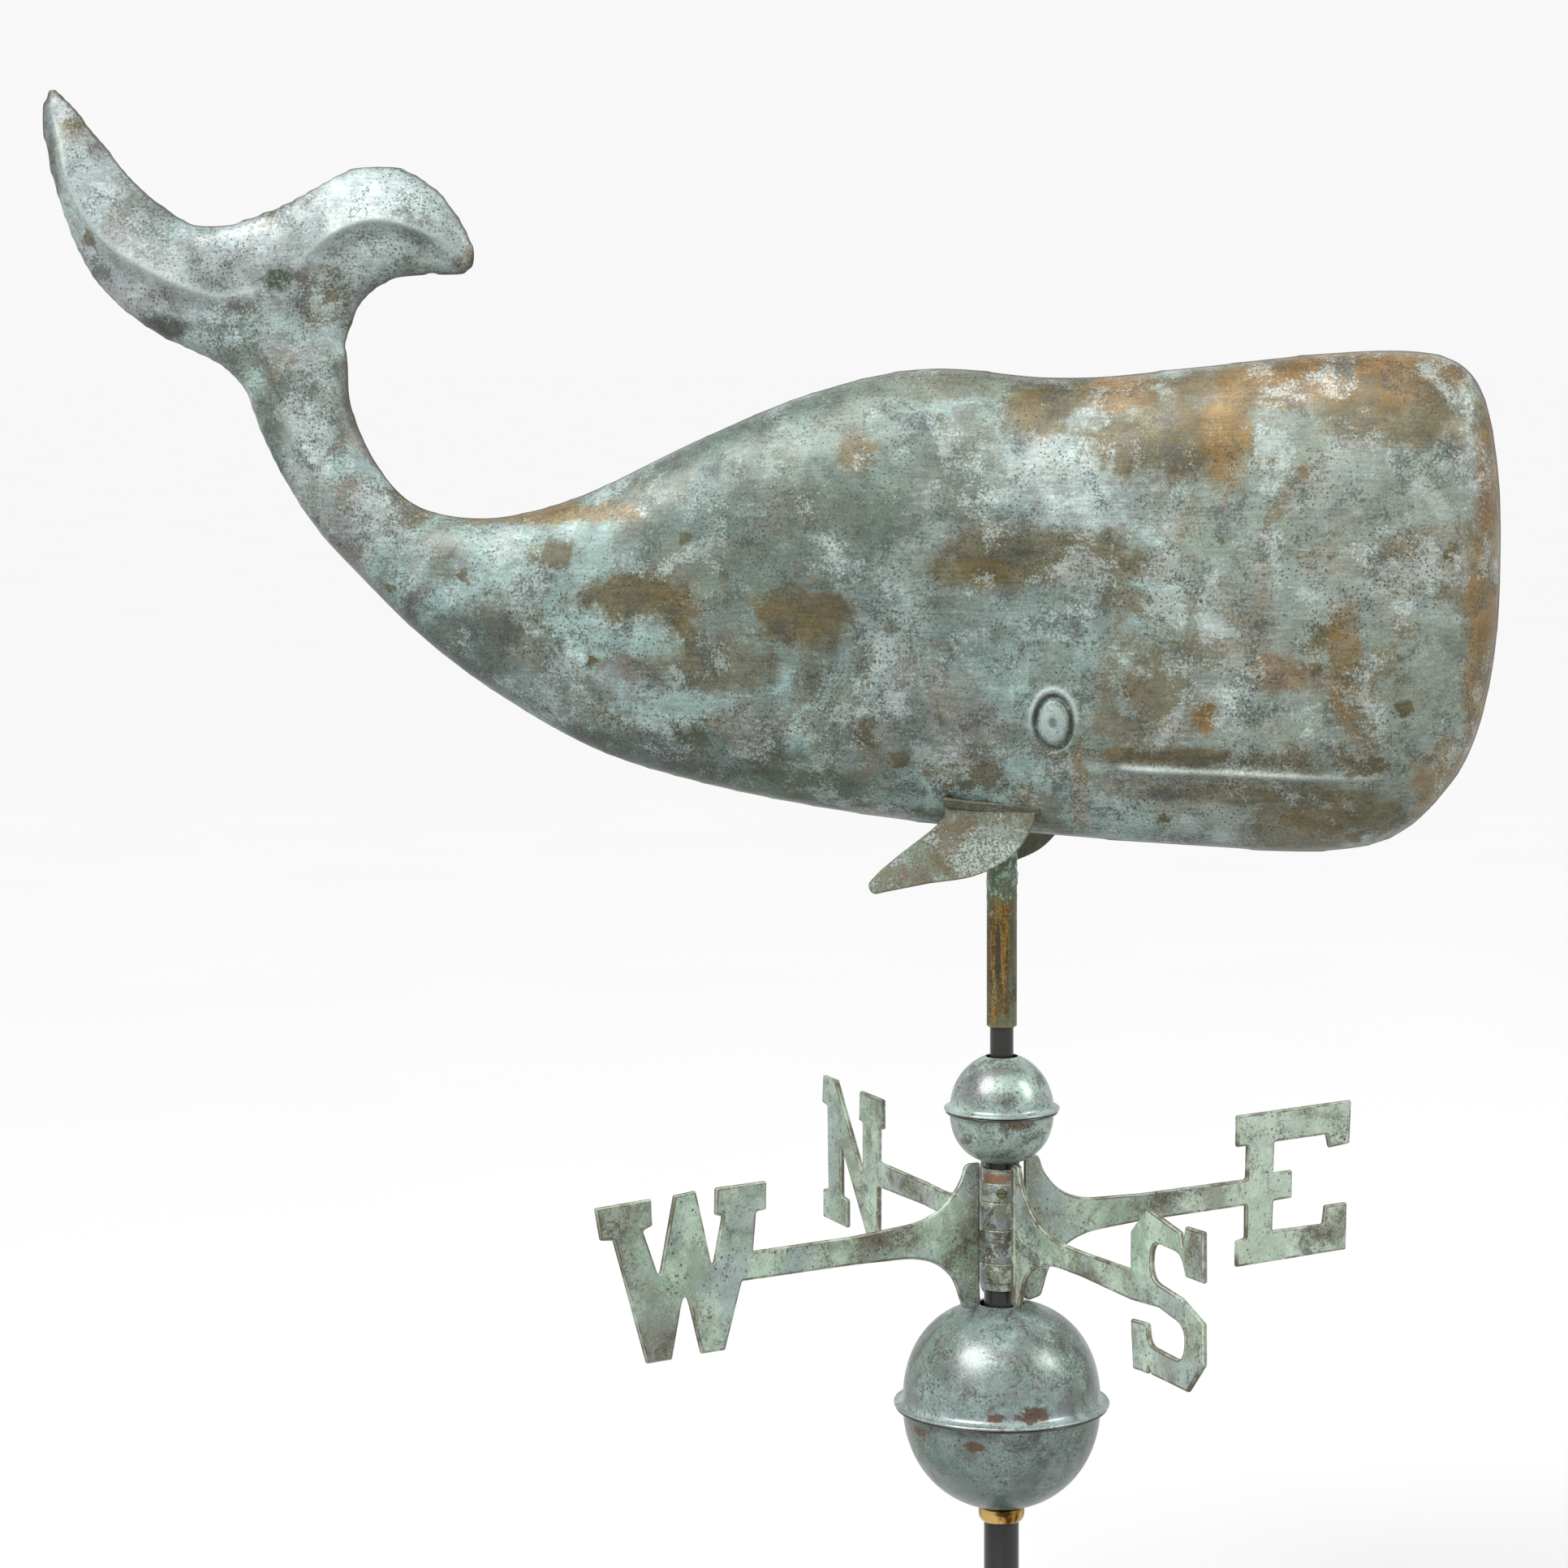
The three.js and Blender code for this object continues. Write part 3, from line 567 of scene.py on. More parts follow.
def whale_finish():
    """Blue-green patina in crisp-edged layers, rubbed to bronze in places, with dirt in its hollows and
    painted highlights and shade on its relief.
    """
    f = Finish("whale_patina")
    grain = f.grain()
    scratches = f.cloud(420, 4, 0.7, 0.1, stretch=(0.16, 1, 1.5), shift=7)
    edge = f.calc("ADD", f.along(), f.spread(f.cloud(14, 5, 0.6, shift=61), -0.06, 0.06))
    behind = f.mask(edge, 0.11, 0.05)
    f.base(f.mottle(7, 0.44, 0.56), SAGE, BLUE_GREY)
    f.coat(f.mottle(9, 0.49, 0.57, 0.2, shift=11), LILAC, 0.8)
    f.coat(f.spread(behind, 0.8, 0, 0, 1), WARM_GREY)
    film = f.times(f.mottle(15, 0.5, 0.54, 0.2, 0.7, shift=17), f.spread(behind, 0.9, 0.5, 0, 1))
    f.coat(film, FILM)
    ice = f.times(f.mottle(13, 0.49, 0.53, 0.22, 0.6, (0.9, 1, 1.15), 3), f.spread(behind, 0.4, 0.85, 0, 1))
    f.coat(ice, ICE)
    white = f.times(f.mottle(10, 0.56, 0.6, 0.2, 0.8, shift=51), f.spread(behind, 0.5, 0.6, 0, 1))
    f.coat(white, PALE)
    tail = f.patch((-440, -8, 886), (130, 90, 74), 0.5, 0.4)
    frost = f.times(tail, f.mottle(16, 0.4, 0.54, 0.25, shift=58), 0.65)
    f.coat(frost, seen(206, 218, 220))
    streaks = f.mottle(30, 0.5, 0.57, 0.3, 0.6, (1, 1, 0.5), 63)
    f.shade(f.times(tail, streaks), 1, 0.7, 0, 1)
    blotches = f.mottle(20, 0.57, 0.61, 0.2, 0.5, shift=71)
    bare = f.calc("MAXIMUM", blotches, f.spots(42, 0.3, 0.3, 4))
    f.coat(bare, BRONZE, 0.75)
    # Stains, and the painted highlight and painted shade on the tail's stem.
    for x, y, z, half_width, half_height, share, tone in WHALE_STAINS_AND_STEM_SHADING:
        size = (half_width, STAIN_DEPTH, half_height)
        stain_and_painted_light = f.times(f.patch((x, y, z), size, 2.6, 0.35, x * STAIN_SHIFT), share)
        f.coat(stain_and_painted_light, tone)
        bare = f.calc("MAXIMUM", bare, stain_and_painted_light)
    f.coat(f.times(bare, f.mottle(52, 0.48, 0.56, 0.4, shift=95)), OLIVE, 0.6)
    lichen = f.times(f.mottle(30, 0.54, 0.58, 0.3, 0.4, shift=83), 0.5)
    f.coat(lichen, PALE)
    dirt = f.mottle(48, 0.53, 0.57, 0.4, 0.4, shift=23)
    f.coat(dirt, SLATE, 0.7)
    worn = f.cloud(44, 6, 0.66, 0.6, shift=88)
    f.shade(worn, 0.7, 1.3)
    f.shade(scratches, 0.8, 1.2, 0.35, 0.65)
    f.shade(grain, 0.74, 1.26)
    specks = f.times(f.pits(420, 0.36, 2), f.mask(f.cloud(26, 6, 0.65, shift=5), 0.48, 0.56))
    f.coat(specks, SOOT, 0.8)
    # Painted highlight along the folds, the mouth's ridge and the top of the eye's rim, with the eyeball
    # rubbed pale.
    f.coat(f.times(f.marked("rubbed_and_highlit"), f.mask(grain, 0.3, 0.5)), PALE)
    f.coat(f.times(f.marked("grime"), f.mask(grain, 0.62, 0.42)), DARK_BRONZE)
    f.coat(f.times(f.wear(), f.mask(scratches, 0.25, 0.5)), DARK_BRONZE)
    rough = f.spread(f.calc("ADD", ice, grain), 0.4, 0.6, 0.3, 1.5)
    metal = f.calc("MULTIPLY_ADD", bare, 0.15, 0.12)
    crust = f.calc("ADD", f.times(lichen, 0.6), f.times(ice, 0.4))
    bumps = [
        (f.cloud(20, 3, 0.5, shift=31), 0.45, 1.4),
        (f.cloud(90, 5, 0.65, shift=37), 0.4, 0.4),
        (crust, 0.5, 0.15),
        (scratches, 0.3, 0.1),
        (f.calc("SUBTRACT", grain, specks), 0.45, 0.12),
    ]
    return f.shader(rough, metal, bumps, Specular_IOR_Level=0.5)


def fin_finish():
    """Mottled green and brown patina of the fins, with grey-white crust, more of it by the root."""
    f = Finish("fin_patina")
    grain = f.grain()
    body = f.mottle(34, 0.46, 0.54, 0.3, 0.7, shift=3)
    f.base(body, seen(92, 106, 80), seen(102, 98, 78))
    f.coat(f.mottle(32, 0.5, 0.56, 0.3, shift=15), seen(126, 142, 130), 0.8)
    f.coat(f.mottle(30, 0.54, 0.58, 0.3, shift=27), seen(92, 76, 44), 0.8)
    crust = f.calc("MAXIMUM", f.mottle(62, 0.54, 0.57, 0.42, shift=9),
                   f.times(f.patch((2, -30, 532), (26, 30, 14), 2.4, 0.3), f.mask(grain, 0.44, 0.52)))
    f.coat(crust, seen(166, 180, 172), 0.75)
    f.shade(grain, 0.72, 1.28)
    f.coat(f.pits(420, 0.34, 4), SOOT, 0.7)
    f.coat(f.wear(), DARK_BRONZE, 0.7)
    bumps = [(f.cloud(45, 3, 0.5, shift=31), 0.5, 0.9), (crust, 0.5, 0.3), (grain, 0.45, 0.12)]
    return f.shader(f.spread(grain, 0.42, 0.66), 0.15, bumps)


# Brown stains on the arms and letters: centre and half size in mm.
CAST_STAINS = [
    ((-174, -168, 360), (24, 24, 13)), ((-54, -52, 331), (22, 22, 9)), ((-66, 94, 328), (22, 28, 6)),
    ((58, -82, 321), (14, 20, 6)), ((164, 158, 300), (20, 20, 11)), ((72, 70, 331), (16, 16, 8)),
    ((123, -176, 357), (8, 10, 17)), ((-150, -145, 292), (14, 14, 8)), ((-112, 160, 300), (12, 18, 9)),
]


def cast_finish():
    """Cast brass under pale green verdigris, with brown-purple mottling, pits and rubbed edges."""
    f = Finish("cast_patina")
    grain = f.grain()
    f.base(f.mottle(16, 0.46, 0.54, shift=2), seen(150, 174, 150), seen(162, 180, 174))
    f.coat(f.mottle(36, 0.49, 0.56, shift=21), seen(186, 208, 186), 0.85)
    pale = f.patch((150, 145, 330), (85, 85, 70), 0.6, 0.3)
    f.coat(pale, seen(212, 230, 208), 0.55)
    brown = f.mottle(19, 0.49, 0.58, 0.25, 0.7, shift=13)
    f.coat(brown, seen(122, 118, 106), 0.6)
    deep = f.mottle(30, 0.55, 0.6, 0.35, 0.7, shift=19)
    f.coat(deep, seen(92, 80, 66), 0.65)
    flecked = f.spread(f.mottle(95, 0.45, 0.56, 0.4, 0.6, shift=53), 0.35, 0.95, 0, 1)
    for centre, size in CAST_STAINS:
        f.coat(f.patch(centre, size, 2.8, 0.6, centre[0] * STAIN_SHIFT), seen(92, 82, 66), flecked)
    dust = f.mottle(75, 0.54, 0.58, 0.4, 0.5, shift=47)
    f.coat(dust, seen(96, 96, 80), 0.6)
    # Painted shadow on the north arm's lip, where it shows through the gap beside the west arm.
    painted_gap_shadow = f.patch((-9, 15, 327), (9, 9, 44), 0.5, 0.3)
    f.coat(painted_gap_shadow, seen(44, 44, 36), 0.9)
    near_hub = f.times(f.patch((0, 0, 325), (27, 27, 60), 0.9, 0.3), f.mottle(40, 0.47, 0.53, 0.4, shift=41))
    f.coat(near_hub, seen(108, 96, 72), 0.6)
    f.shade(f.cloud(60, 6, 0.66, 0.5, shift=88), 0.8, 1.2)
    f.shade(grain, 0.8, 1.2)
    pits = f.times(f.pits(260, 0.28, 6), f.mask(f.cloud(50, 5, 0.6, shift=8), 0.46, 0.56))
    f.coat(pits, SOOT, 0.85)
    outline = f.times(f.mask(f.wear(), 0.35, 0.7), f.mask(f.cloud(45, 6, 0.68, shift=29), 0.4, 0.56))
    f.coat(outline, seen(98, 82, 58), 0.85)
    rubbed = f.times(f.mask(f.wear(), 0.8, 0.95), f.mask(f.cloud(60, 6, 0.68, shift=59), 0.6, 0.42))
    f.coat(rubbed, seen(204, 214, 196), 0.75)
    rough = f.spread(grain, 0.4, 0.62)
    metal = f.calc("MULTIPLY_ADD", f.calc("MAXIMUM", outline, deep), 0.3, 0.12)
    height = f.calc("MULTIPLY_ADD", pits, -1.2, grain)
    bumps = [
        (f.cloud(60, 4, 0.55, shift=33), 0.5, 0.8),
        (f.cloud(190, 5, 0.65, shift=39), 0.45, 0.3),
        (height, 0.5, 0.16),
    ]
    return f.shader(rough, metal, bumps)


def hub_finish():
    """The hub's knuckles and sleeves: the casting's patina, grimier, with copper showing."""
    f = Finish("hub_patina")
    grain = f.grain()
    f.base(f.mottle(70, 0.47, 0.53, shift=4), seen(122, 128, 108), seen(160, 174, 162))
    f.coat(f.mottle(60, 0.5, 0.55, shift=14), seen(140, 150, 152))
    f.coat(f.mottle(90, 0.53, 0.56, shift=24), seen(192, 204, 188))
    f.coat(f.mottle(80, 0.53, 0.57, shift=25), seen(78, 66, 46), 0.85)
    top = f.patch((-2, -11, 356), (9, 14, 3), 2.4, 0.3)
    f.coat(top, seen(150, 98, 50), 0.8)
    f.shade(grain, 0.75, 1.25)
    edge = f.mask(f.wear(), 0.4, 0.9)
    f.coat(f.times(edge, f.mask(grain, 0.4, 0.55)), seen(206, 204, 176))
    bumps = [(f.cloud(150, 5, 0.6, shift=33), 0.55, 0.5), (grain, 0.5, 0.16)]
    return f.shader(f.spread(grain, 0.34, 0.56), 0.3, bumps)


# Bare copper by the balls' rims: centre and half size in mm.
BALL_STAINS = [
    ((24, -46, 237), (9, 12, 4.5)), ((5, -51, 236), (5, 12, 2.5)), ((-7, -51, 220), (6, 12, 3)),
    ((-38, -34, 222), (5, 12, 3)), ((30, 44, 238), (9, 12, 4)), ((-30, 45, 219), (8, 12, 4)),
    ((14, -24, 388), (8, 10, 2)),
]
# Mauve tarnish on the small ball, in the same way.
BALL_CLOUDS = [
    ((-12, -22, 411), (9, 14, 6)), ((6, -25, 402), (8, 12, 3.5)), ((3, -16, 417), (13, 12, 3)),
    ((10, 22, 408), (12, 12, 8)),
]


def ball_finish():
    """Spun copper under smooth waxed verdigris, with dark clouds and specks, a paler rim, and painted shade
    under the large ball's rim and on the rolled rims' undersides.
    """
    f = Finish("ball_patina")
    grain = f.grain()
    f.base(f.mottle(26, 0.46, 0.54, shift=5), seen(106, 132, 118), seen(130, 148, 144))
    f.coat(f.mottle(40, 0.5, 0.56, 0.35, shift=22), seen(152, 176, 168), 0.75)
    small = f.mask(f.height(), 0.33, 0.35)
    f.coat(small, seen(178, 201, 188), 0.66)
    f.coat(f.mottle(30, 0.49, 0.56, 0.3, 0.8, shift=16), seen(112, 114, 114), 0.7)
    f.coat(f.mottle(40, 0.53, 0.58, 0.3, 0.9, shift=66), seen(70, 66, 64), 0.8)
    for centre, size in BALL_CLOUDS:
        f.coat(f.patch(centre, size, 2.6, 0.5, centre[2] * STAIN_SHIFT), seen(112, 108, 112), 0.55)
    # Painted shade: the large ball's bottom half darker below its rim.
    painted_lower_shade = f.mask(f.height(), LARGE_BALL["rim_z"] * MM, (LARGE_BALL["rim_z"] - 12) * MM)
    f.shade(painted_lower_shade, 1, 0.84, 0, 1)
    rims = [f.calc("SUBTRACT", f.height(), ball["rim_z"] * MM) for ball in (LARGE_BALL, SMALL_BALL)]
    flares = [f.times(f.mask(above, -0.0005, 0.0005), f.mask(above, 0.009, 0.002)) for above in rims]
    crust = f.times(f.calc("MAXIMUM", *flares), f.mottle(45, 0.42, 0.52, 0.3, shift=91))
    f.coat(crust, seen(170, 188, 188), 0.7)
    bare = f.mottle(48, 0.6, 0.62, 0.3, shift=61)
    for centre, size in BALL_STAINS:
        bare = f.calc("MAXIMUM", bare, f.patch(centre, size, 2.8, 0.2, centre[0] * STAIN_SHIFT))
    f.coat(f.times(bare, f.spread(grain, 0.5, 1, 0.35, 0.6)), seen(112, 78, 56))
    f.shade(f.cloud(60, 6, 0.66, 0.6, shift=88), 0.76, 1.24)
    f.shade(grain, 0.8, 1.2)
    dirt = f.times(f.mottle(90, 0.54, 0.57, 0.5, shift=77), 0.7)
    f.coat(dirt, seen(74, 78, 70))
    specks = f.times(f.pits(300, 0.3, 3), f.mask(f.cloud(40, 5, 0.6, shift=5), 0.5, 0.58))
    f.coat(specks, SOOT, 0.85)
    rubbed = f.times(f.wear(), f.mask(f.cloud(60, 5, 0.65, shift=29), 0.4, 0.55))
    f.coat(rubbed, seen(176, 188, 176), 0.6)
    # Painted shade: a dark band on the rolled rim of each ball's bottom half, under the top half's rim.
    for above in rims:
        under = f.times(f.mask(above, -0.0022, -0.0012), f.mask(above, 0.0004, 0))
        f.coat(under, seen(52, 46, 36), 0.85)
    rough = f.spread(grain, 0.26, 0.38)
    metal = f.calc("MULTIPLY_ADD", f.calc("MAXIMUM", bare, rubbed), 0.4, 0.2)
    bumps = [
        (f.cloud(34, 3, 0.5, shift=31), 0.3, 0.8),
        (f.cloud(150, 5, 0.62, shift=37), 0.3, 0.16),
        (f.calc("SUBTRACT", grain, specks), 0.35, 0.08),
    ]
    return f.shader(rough, metal, bumps, Specular_IOR_Level=0.6)


def sleeve_finish():
    """Brass tube browned and streaked along its length, green with crust up by the whale, with a painted
    highlight down its right side and a painted dark reflection down its front.
    """
    f = Finish("aged_brass")
    grain = f.grain()
    runs = f.mottle(120, 0.46, 0.54, 0.3, 0.5, (1, 1, 0.12), 3)
    f.base(runs, BROWN_BRASS, GOLD_BRASS)
    # Painted highlight: the patch down the tube's right side, mixed into the haze.
    haze = f.calc("MAXIMUM", f.mottle(70, 0.52, 0.57, 0.3, 0.3, (1, 1, 0.2), 8),
                  f.patch((7, -4.5, 470), (2.6, 4, 60), 0.5, 0.3))
    f.coat(haze, seen(108, 104, 80), 0.8)
    # Dark tarnish runs, and a painted dark reflection: the narrow patch down the tube's front.
    dark = f.calc("MAXIMUM", f.mottle(90, 0.54, 0.58, 0.35, 0.5, (1, 1, 0.3), 12),
                  f.patch((-0.8, -8.2, 477), (1.6, 3, 19), 1.3, 0.3))
    f.coat(dark, seen(54, 50, 40), 0.9)
    verdigris = f.mottle(80, 0.54, 0.58, 0.4, 0.5, (1, 1, 0.5), 32)
    f.coat(verdigris, seen(104, 122, 96), 0.6)
    edge = f.calc("ADD", f.height(), f.spread(f.cloud(45, 6, 0.7, shift=44), -0.02, 0.02, 0.2, 0.8))
    green = f.mask(edge, 0.500, 0.516)
    f.coat(green, seen(84, 108, 80), 0.85)
    crust = f.times(f.mask(edge, 0.497, 0.509), f.mottle(110, 0.5, 0.54, 0.3, shift=48))
    f.coat(crust, seen(160, 194, 178), 0.9)
    foot = f.mask(edge, 0.444, 0.438)
    f.coat(foot, seen(104, 116, 88), 0.6)
    lengthways = f.cloud(90, 6, 0.66, 0.4, (1, 1, 0.16), 91)
    f.shade(lengthways, 0.6, 1.6)
    f.shade(grain, 0.62, 1.38)
    f.coat(f.wear(), seen(160, 142, 96), 0.5)
    metal = f.spread(f.calc("MAXIMUM", crust, green), 0.6, 0.1, 0, 1)
    bumps = [(f.calc("SUBTRACT", runs, dark), 0.3, 0.15), (f.calc("ADD", grain, crust), 0.5, 0.16)]
    return f.shader(f.spread(grain, 0.32, 0.56), metal, bumps)


# Painted dark reflections on the collar, at its front top, sides and back: centre and half size in mm.
COLLAR_DARK_REFLECTIONS = [
    ((3, -12, 171.8), (4.6, 5, 1.7)), ((-12.4, -1, 169), (1.6, 6, 7)), ((12.4, 3, 169), (1.4, 6, 7)),
    ((-2, 12, 168), (4, 5, 2)),
]


def brass_finish():
    """Polished brass with faint turning lines, painted bright and dark reflections in streaks up its side,
    and painted dark reflections.
    """
    f = Finish("bright_brass")
    lines = f.cloud(900, 3, 0.6, stretch=(0.05, 0.05, 1), shift=2)
    # Painted reflections: bright and dark streaks up the collar standing in for the studio seen in the
    # polish.
    painted_reflection_bands = f.cloud(95, 4, 0.55, 0.3, stretch=(1, 1, 0.35), shift=6)
    f.base(f.mask(painted_reflection_bands, 0.48, 0.56), BRASS, seen(176, 136, 66))
    f.coat(f.mask(painted_reflection_bands, 0.55, 0.62), seen(62, 46, 20), 0.9)
    # Painted dark reflections at the collar's front, sides and back.
    for centre, size in COLLAR_DARK_REFLECTIONS:
        f.coat(f.patch(centre, size, 0.8, 0.3), seen(58, 42, 16), 0.85)
    rough = f.spread(painted_reflection_bands, 0.08, 0.2, 0.35, 0.7)
    return f.shader(rough, 1.0, [(lines, 0.25, 0.05), (painted_reflection_bands, 0.3, 0.3)])


def black_finish():
    """Black-oxide steel bar, drawn lengthways, a little scuffed."""
    f = Finish("black_steel")
    drawn = f.cloud(420, 5, 0.65, stretch=(1, 1, 0.03), shift=2)
    scuffs = f.cloud(90, 7, 0.72, 0.5, stretch=(1, 1, 0.25), shift=9)
    f.base(f.mask(drawn, 0.42, 0.6), seen(12, 12, 13), seen(32, 31, 34))
    f.coat(f.mask(scuffs, 0.58, 0.7), seen(76, 75, 74), 0.4)
    f.coat(f.wear(), seen(120, 118, 114), 0.6)
    rough = f.spread(drawn, 0.16, 0.3)
    return f.shader(rough, 0.2, [(drawn, 0.3, 0.08), (scuffs, 0.2, 0.1)], Specular_IOR_Level=0.3)


def steel_finish():
    """Ground bearing steel."""
    f = Finish("bright_steel")
    haze = f.cloud(260, 5, 0.6, shift=2)
    lines = f.cloud(1500, 3, 0.6, stretch=(0.2, 0.2, 1), shift=3)
    f.base(f.mask(haze, 0.42, 0.66), seen(206, 208, 210), seen(172, 174, 178))
    return f.shader(f.spread(haze, 0.12, 0.26), 1.0, [(lines, 0.2, 0.03)])


# ---------- whale ----------

# Stations along a swollen solid: lower edge x and z, upper edge x and z, and swell to each side.
BODY = [
    (-414, 832, -382, 836, 0), (-419, 786, -361, 802, 11.5), (-406, 746, -359, 772, 14),
    (-382, 706, -346, 740, 16), (-354, 676, -326, 717, 18), (-318, 642, -300, 709, 21),
    (-276, 612, -270, 709.5, 25), (-222, 583, -227, 721.5, 30), (-164, 566, -167, 749.5, 35),
    (-100, 554, -104, 775, 39), (-36, 546, -40, 788.5, 41), (33, 541, 33, 783, 42),
    (104, 537, 100, 788.5, 43), (168, 535.5, 162, 795, 43), (206, 543.5, 210, 797, 41.5),
    (232, 567, 237, 791, 35), (247, 593, 250, 774, 26), (256, 630, 257, 742, 15),
    (260, 670, 260, 706, 0),
]
NEAR_FLUKE = [
    (-532, 940, -528, 944, 0), (-533, 924, -523, 943, 3.5), (-529, 900, -515, 935, 6),
    (-521, 872, -505, 922, 8), (-509, 845, -493, 908, 9), (-493, 826, -481, 893, 10),
    (-472, 810, -464, 879, 10.5), (-449, 799, -446, 868, 11), (-432, 791, -426, 866, 11),
    (-417, 775, -404, 862, 10), (-404, 745, -386, 850, 0),
]
FAR_FLUKE = [
    (-432, 790, -452, 868, 0), (-404, 782, -425, 869, 9.5), (-374, 786, -394, 879, 11),
    (-361, 804, -374, 889, 10.5), (-352, 824, -357, 897, 10), (-335, 836, -334, 899, 9),
    (-316, 839.5, -313, 890, 8), (-301, 839.5, -297, 873, 6.5), (-291, 840, -288, 857, 4),
    (-286, 844, -285, 849, 0),
]

# Folds pressed into the tail, as x and z from one end to the other.
FOLD_ROUNDING = 0.6
NEAR_RIDGE = [(-526, 934), (-519, 911), (-512, 889), (-502, 870), (-486, 854), (-465, 842), (-447, 834),
              (-428, 829), (-410, 832)]
FAR_RIDGE = [(-384, 848), (-362, 862), (-347, 868), (-335, 869), (-321, 866), (-307, 860), (-290, 848)]
STEM_RIDGE = [(-414, 826), (-402, 798), (-394, 775), (-384, 753), (-374, 734), (-362, 712), (-345, 692)]

EYE = {"x": 33, "z": 605, "half_width": 9.6, "half_height": 13.8}
EYE_LINE = [(33, 602), (33, 608)]
MOUTH = [(64, 581.5), (80, 580), (120, 579), (170, 577.5), (216, 577.5)]


def swollen(stations, per_span=6, columns=20):
    """Points and faces of a closed form that swells to both sides of the XZ plane."""
    rows = smooth_curve(stations, per_span)
    across = (1 - np.cos(np.linspace(0, math.pi, columns + 1))) / 2
    profile = np.sqrt(np.clip(1 - np.abs(2 * across - 1) ** SHELL_PROFILE_POWER, 0, None))
    points, faces = [], []
    for side in (-1, 1):
        first = len(points)
        for low_x, low_z, high_x, high_z, swell in rows:
            for t, share in zip(across, profile):
                x, z = low_x + (high_x - low_x) * t, low_z + (high_z - low_z) * t
                points.append((x, side * max(0.0, swell) * share, z))
        for i in range(len(rows) - 1):
            for j in range(columns):
                a = first + i * (columns + 1) + j
                quad = (a, a + columns + 1, a + columns + 2, a + 1)
                faces.append(quad if side < 0 else quad[::-1])
    return points, faces


def fused_whale():
    """Body and flukes fused into one even, smooth skin, as a mesh in mm."""
    work = bmesh.new()
    for stations in (BODY, NEAR_FLUKE, FAR_FLUKE):
        points, faces = swollen(stations)
        corners = [work.verts.new(p) for p in points]
        for face in faces:
            work.faces.new([corners[i] for i in face])
    bmesh.ops.remove_doubles(work, verts=work.verts, dist=0.02)
    mesh = bpy.data.meshes.new("whale_core")
    work.to_mesh(mesh)
    work.free()
    core = linked("whale_core", mesh)
    remesh = core.modifiers.new("fuse", "REMESH")
    remesh.mode, remesh.voxel_size = "VOXEL", SHELL_VOXEL
    ease = core.modifiers.new("ease", "SMOOTH")
    ease.factor, ease.iterations = 0.5, 8
    fine = core.modifiers.new("fine", "SUBSURF")
    fine.levels = fine.render_levels = 1
    view = bpy.context.evaluated_depsgraph_get()
    skin = bpy.data.meshes.new_from_object(core.evaluated_get(view))
    bpy.data.objects.remove(core)
    return skin


def hump(value, width):
    """1 at no distance, fading out over about twice a width."""
    return np.exp(-((value / width) ** 2))


def crease(places, line, height, above, below):
    """Height of a pressed fold: highest on its line, falling away over a width on each side of it."""
    distance, side, share = line_distance(places, smooth_curve(line, 6))
    width = np.where(side > 0, above, below)
    slope = np.clip(1 - (np.hypot(distance, FOLD_ROUNDING) - FOLD_ROUNDING) / width, 0, 1)
    ends = smoothstep(share, 0, 0.25) * smoothstep(share, 1, 0.7)
    return height * slope**1.4 * ends


def eye_reach(places):
    """How far places in the XZ plane are from the eye's middle: 1 on its ring."""
    x = (places[:, 0] - EYE["x"]) / EYE["half_width"]
    z = (places[:, 1] - EYE["z"]) / EYE["half_height"]
    return np.hypot(x, z)


def mouth_reach(places):
    """Distance from the mouth's line, side of it, and how much of the mouth there is there."""
    distance, side, share = line_distance(places, smooth_curve(MOUTH, 6))
    return distance, side, smoothstep(share, 0, 0.05) * smoothstep(share, 1.02, 0.6)


def relief(places):
    """Height of the pressed detail above the plain flank, in mm, at places in the XZ plane."""
    total = crease(places, NEAR_RIDGE, 6.0, 22, 10)
    total += crease(places, FAR_RIDGE, 6.5, 26, 9)
    total += crease(places, STEM_RIDGE, 5.5, 24, 8)
    out = eye_reach(places)
    total += 2.4 * np.sqrt(np.clip(1 - (out / 0.88) ** 2, 0, None))
    total += 0.9 * hump(out - 1.24, 0.14) - 1.6 * hump(out - 1, 0.1) - 1.5 * hump(out, 0.2)
    distance, _, full = mouth_reach(places)
    total += (1.9 * hump(distance, 2) - 0.6 * hump(distance - 6, 4)) * full
    for i, (px, pz) in enumerate(places):
        total[i] += 1.3 * noise.noise(Vector((px / 60, pz / 45, 0.3)))
        total[i] += 0.45 * noise.noise(Vector((px / 17, pz / 15, 4.1)))
    return total


def grime(places):
    """How much dirt lies at places in the XZ plane: in the ring of the eye and beside the mouth."""
    ring = 0.9 * hump(eye_reach(places) - 1, 0.1)
    distance, side, full = mouth_reach(places)
    beside = np.where(side > 0, 0.7, 0.4) * hump(distance - 7, 4) * full
    return np.maximum(ring, beside)


def rubbed_and_highlit(places):
    """How pale places in the XZ plane are: rubbed pale on the eyeball, painted highlight on the mouth's
    ridge, the folds and the top of the eye's rim.
    """
    out = eye_reach(places)
    ball = 0.7 * smoothstep(out, 0.8, 0.6) * smoothstep(out, 0.15, 0.3)
    rim = 0.8 * hump(out - 1.3, 0.14) * smoothstep(places[:, 1] - EYE["z"], -10, 8)
    distance, _, full = mouth_reach(places)
    folds = [np.exp(-line_distance(places, smooth_curve(line, 6))[0] / 2) for line in (NEAR_RIDGE, FAR_RIDGE)]
    return np.maximum.reduce([ball, rim, 0.6 * hump(distance, 1.4) * full, *folds])


